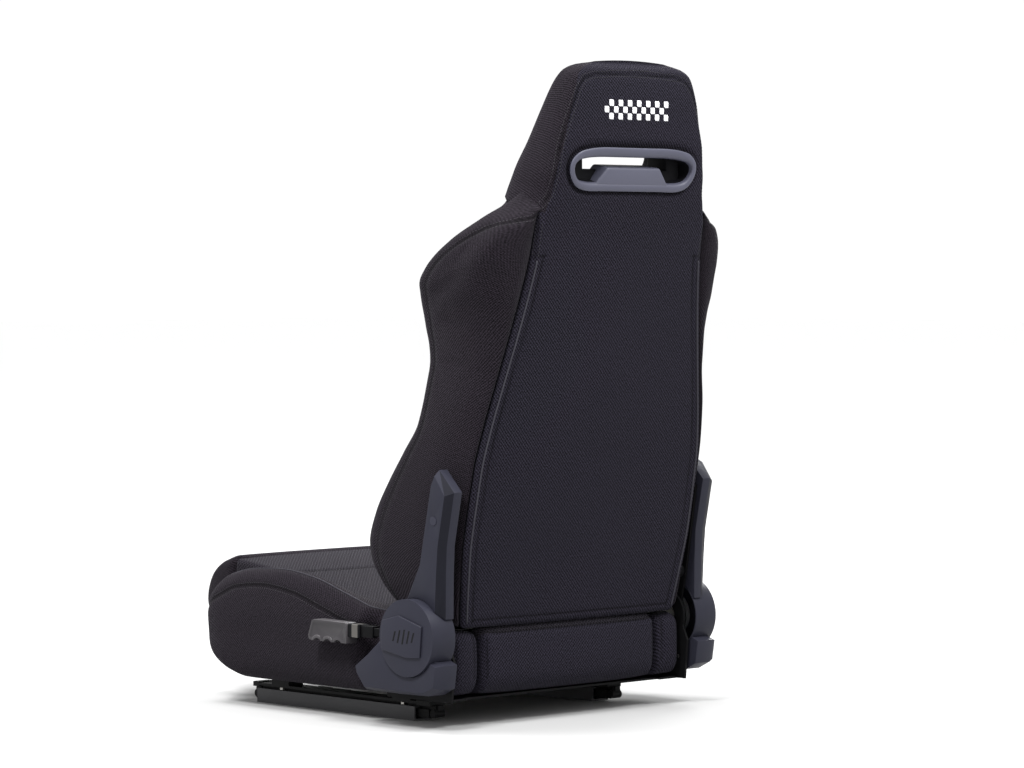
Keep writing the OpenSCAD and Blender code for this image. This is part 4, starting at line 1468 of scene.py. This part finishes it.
class SEAT_OT_stage(bpy.types.Operator):
    """Pale floor, darkened near the seat as painted shade, soft lights and the camera"""

    bl_idname = "seat.stage"
    bl_label = "Stage"

    def execute(self, context):
        scene = context.scene
        scene.view_settings.view_transform = "Standard"
        world = bpy.data.worlds.new("studio")
        world.use_nodes = True
        bg = world.node_tree.nodes["Background"]
        bg.inputs[0].default_value, bg.inputs[1].default_value = (1, 1, 1, 1), 1.03
        scene.world = world
        bm = bmesh.new()
        bmesh.ops.create_grid(bm, x_segments=2, y_segments=2, size=30)
        floor = keep("floor", bm, [])
        t, p = shader("studio_floor")
        # Painted shade: the floor colour is dark near the seat and pale far away, so the strong lamps there
        # still read white while the shadow under the seat comes out deeper.
        n = node(t, "ShaderNodeTexNoise", {"Scale": 3.0})
        at = node(t, "ShaderNodeTexCoord").outputs["Object"]
        far = node(t, "ShaderNodeVectorMath", {0: at}, operation="LENGTH").outputs["Value"]
        ring = node(
            t, "ShaderNodeMapRange", {0: far, 1: 1.2, 2: 6.0, 3: 0.0, 4: 1.0},
            interpolation_type="SMOOTHSTEP",
        ).outputs[0]
        near = blend_colour(t, n.outputs[0], (0.4, 0.4, 0.4), (0.42, 0.42, 0.42))
        t.links.new(blend_colour(t, ring, near, (0.97, 0.97, 0.97)), p.inputs["Base Color"])
        p.inputs["Roughness"].default_value = 0.8
        p.inputs["Specular IOR Level"].default_value = 0.1
        floor.data.materials.append(FINISH["studio_floor"])
        aim = Vector((0, 0.1, 0.5))
        for name, at, size, power in LIGHTS:
            light = bpy.data.lights.new(name, "AREA")
            light.shape, light.size, light.energy = "DISK", size, power
            o = bpy.data.objects.new(name, light)
            o.location = at
            o.rotation_euler = (aim - Vector(at)).to_track_quat("-Z", "Y").to_euler()
            scene.collection.objects.link(o)
        cam = bpy.data.objects.new("camera", bpy.data.cameras.new("camera"))
        turn, tilt = math.radians(44.2882), math.radians(1.8264)
        back = Vector((math.sin(turn) * math.cos(tilt), math.cos(turn) * math.cos(tilt), math.sin(tilt)))
        cam.location = (4.22165, 4.5052, 0.6945)
        cam.rotation_euler = (-back).to_track_quat("-Z", "Y").to_euler()
        cam.data.sensor_width, cam.data.lens, cam.data.clip_end = 36, 138.555, 100
        scene.collection.objects.link(cam)
        scene.camera = cam
        return {"FINISHED"}


# ---------- panel and run ----------

OPERATORS = (
    SEAT_OT_finishes, SEAT_OT_back_shell, SEAT_OT_wings, SEAT_OT_back_insert, SEAT_OT_cushion_insert,
    SEAT_OT_front_roll, SEAT_OT_cushion_bolsters, SEAT_OT_rear_block, SEAT_OT_piping, SEAT_OT_stitching,
    SEAT_OT_harness_guide, SEAT_OT_harness_cavity, SEAT_OT_emblem, SEAT_OT_covers, SEAT_OT_lever,
    SEAT_OT_stage,
)


class SEAT_PT_panel(bpy.types.Panel):
    """The seat's pieces, sizes and colours"""

    bl_label = "Bucket seat"
    bl_idname = "SEAT_PT_panel"
    bl_space_type = "VIEW_3D"
    bl_region_type = "UI"
    bl_category = "Seat"

    def draw(self, context):
        for group in (context.scene.seat_sizes, context.scene.seat_colours):
            for key in group.bl_rna.properties.keys():
                if key not in ("rna_type", "name"):
                    self.layout.prop(group, key)
        for op in OPERATORS:
            self.layout.operator(op.bl_idname)


CLASSES = (SeatSizes, SeatColours, *OPERATORS, SEAT_PT_panel)


def register():
    for c in CLASSES:
        bpy.utils.register_class(c)
    bpy.types.Scene.seat_sizes = bpy.props.PointerProperty(type=SeatSizes)
    bpy.types.Scene.seat_colours = bpy.props.PointerProperty(type=SeatColours)


def unregister():
    del bpy.types.Scene.seat_sizes, bpy.types.Scene.seat_colours
    for c in reversed(CLASSES):
        bpy.utils.unregister_class(c)


def main():
    register()
    for op in OPERATORS:
        area, name = op.bl_idname.split(".")
        getattr(getattr(bpy.ops, area), name)()


if __name__ == "__main__":
    main()
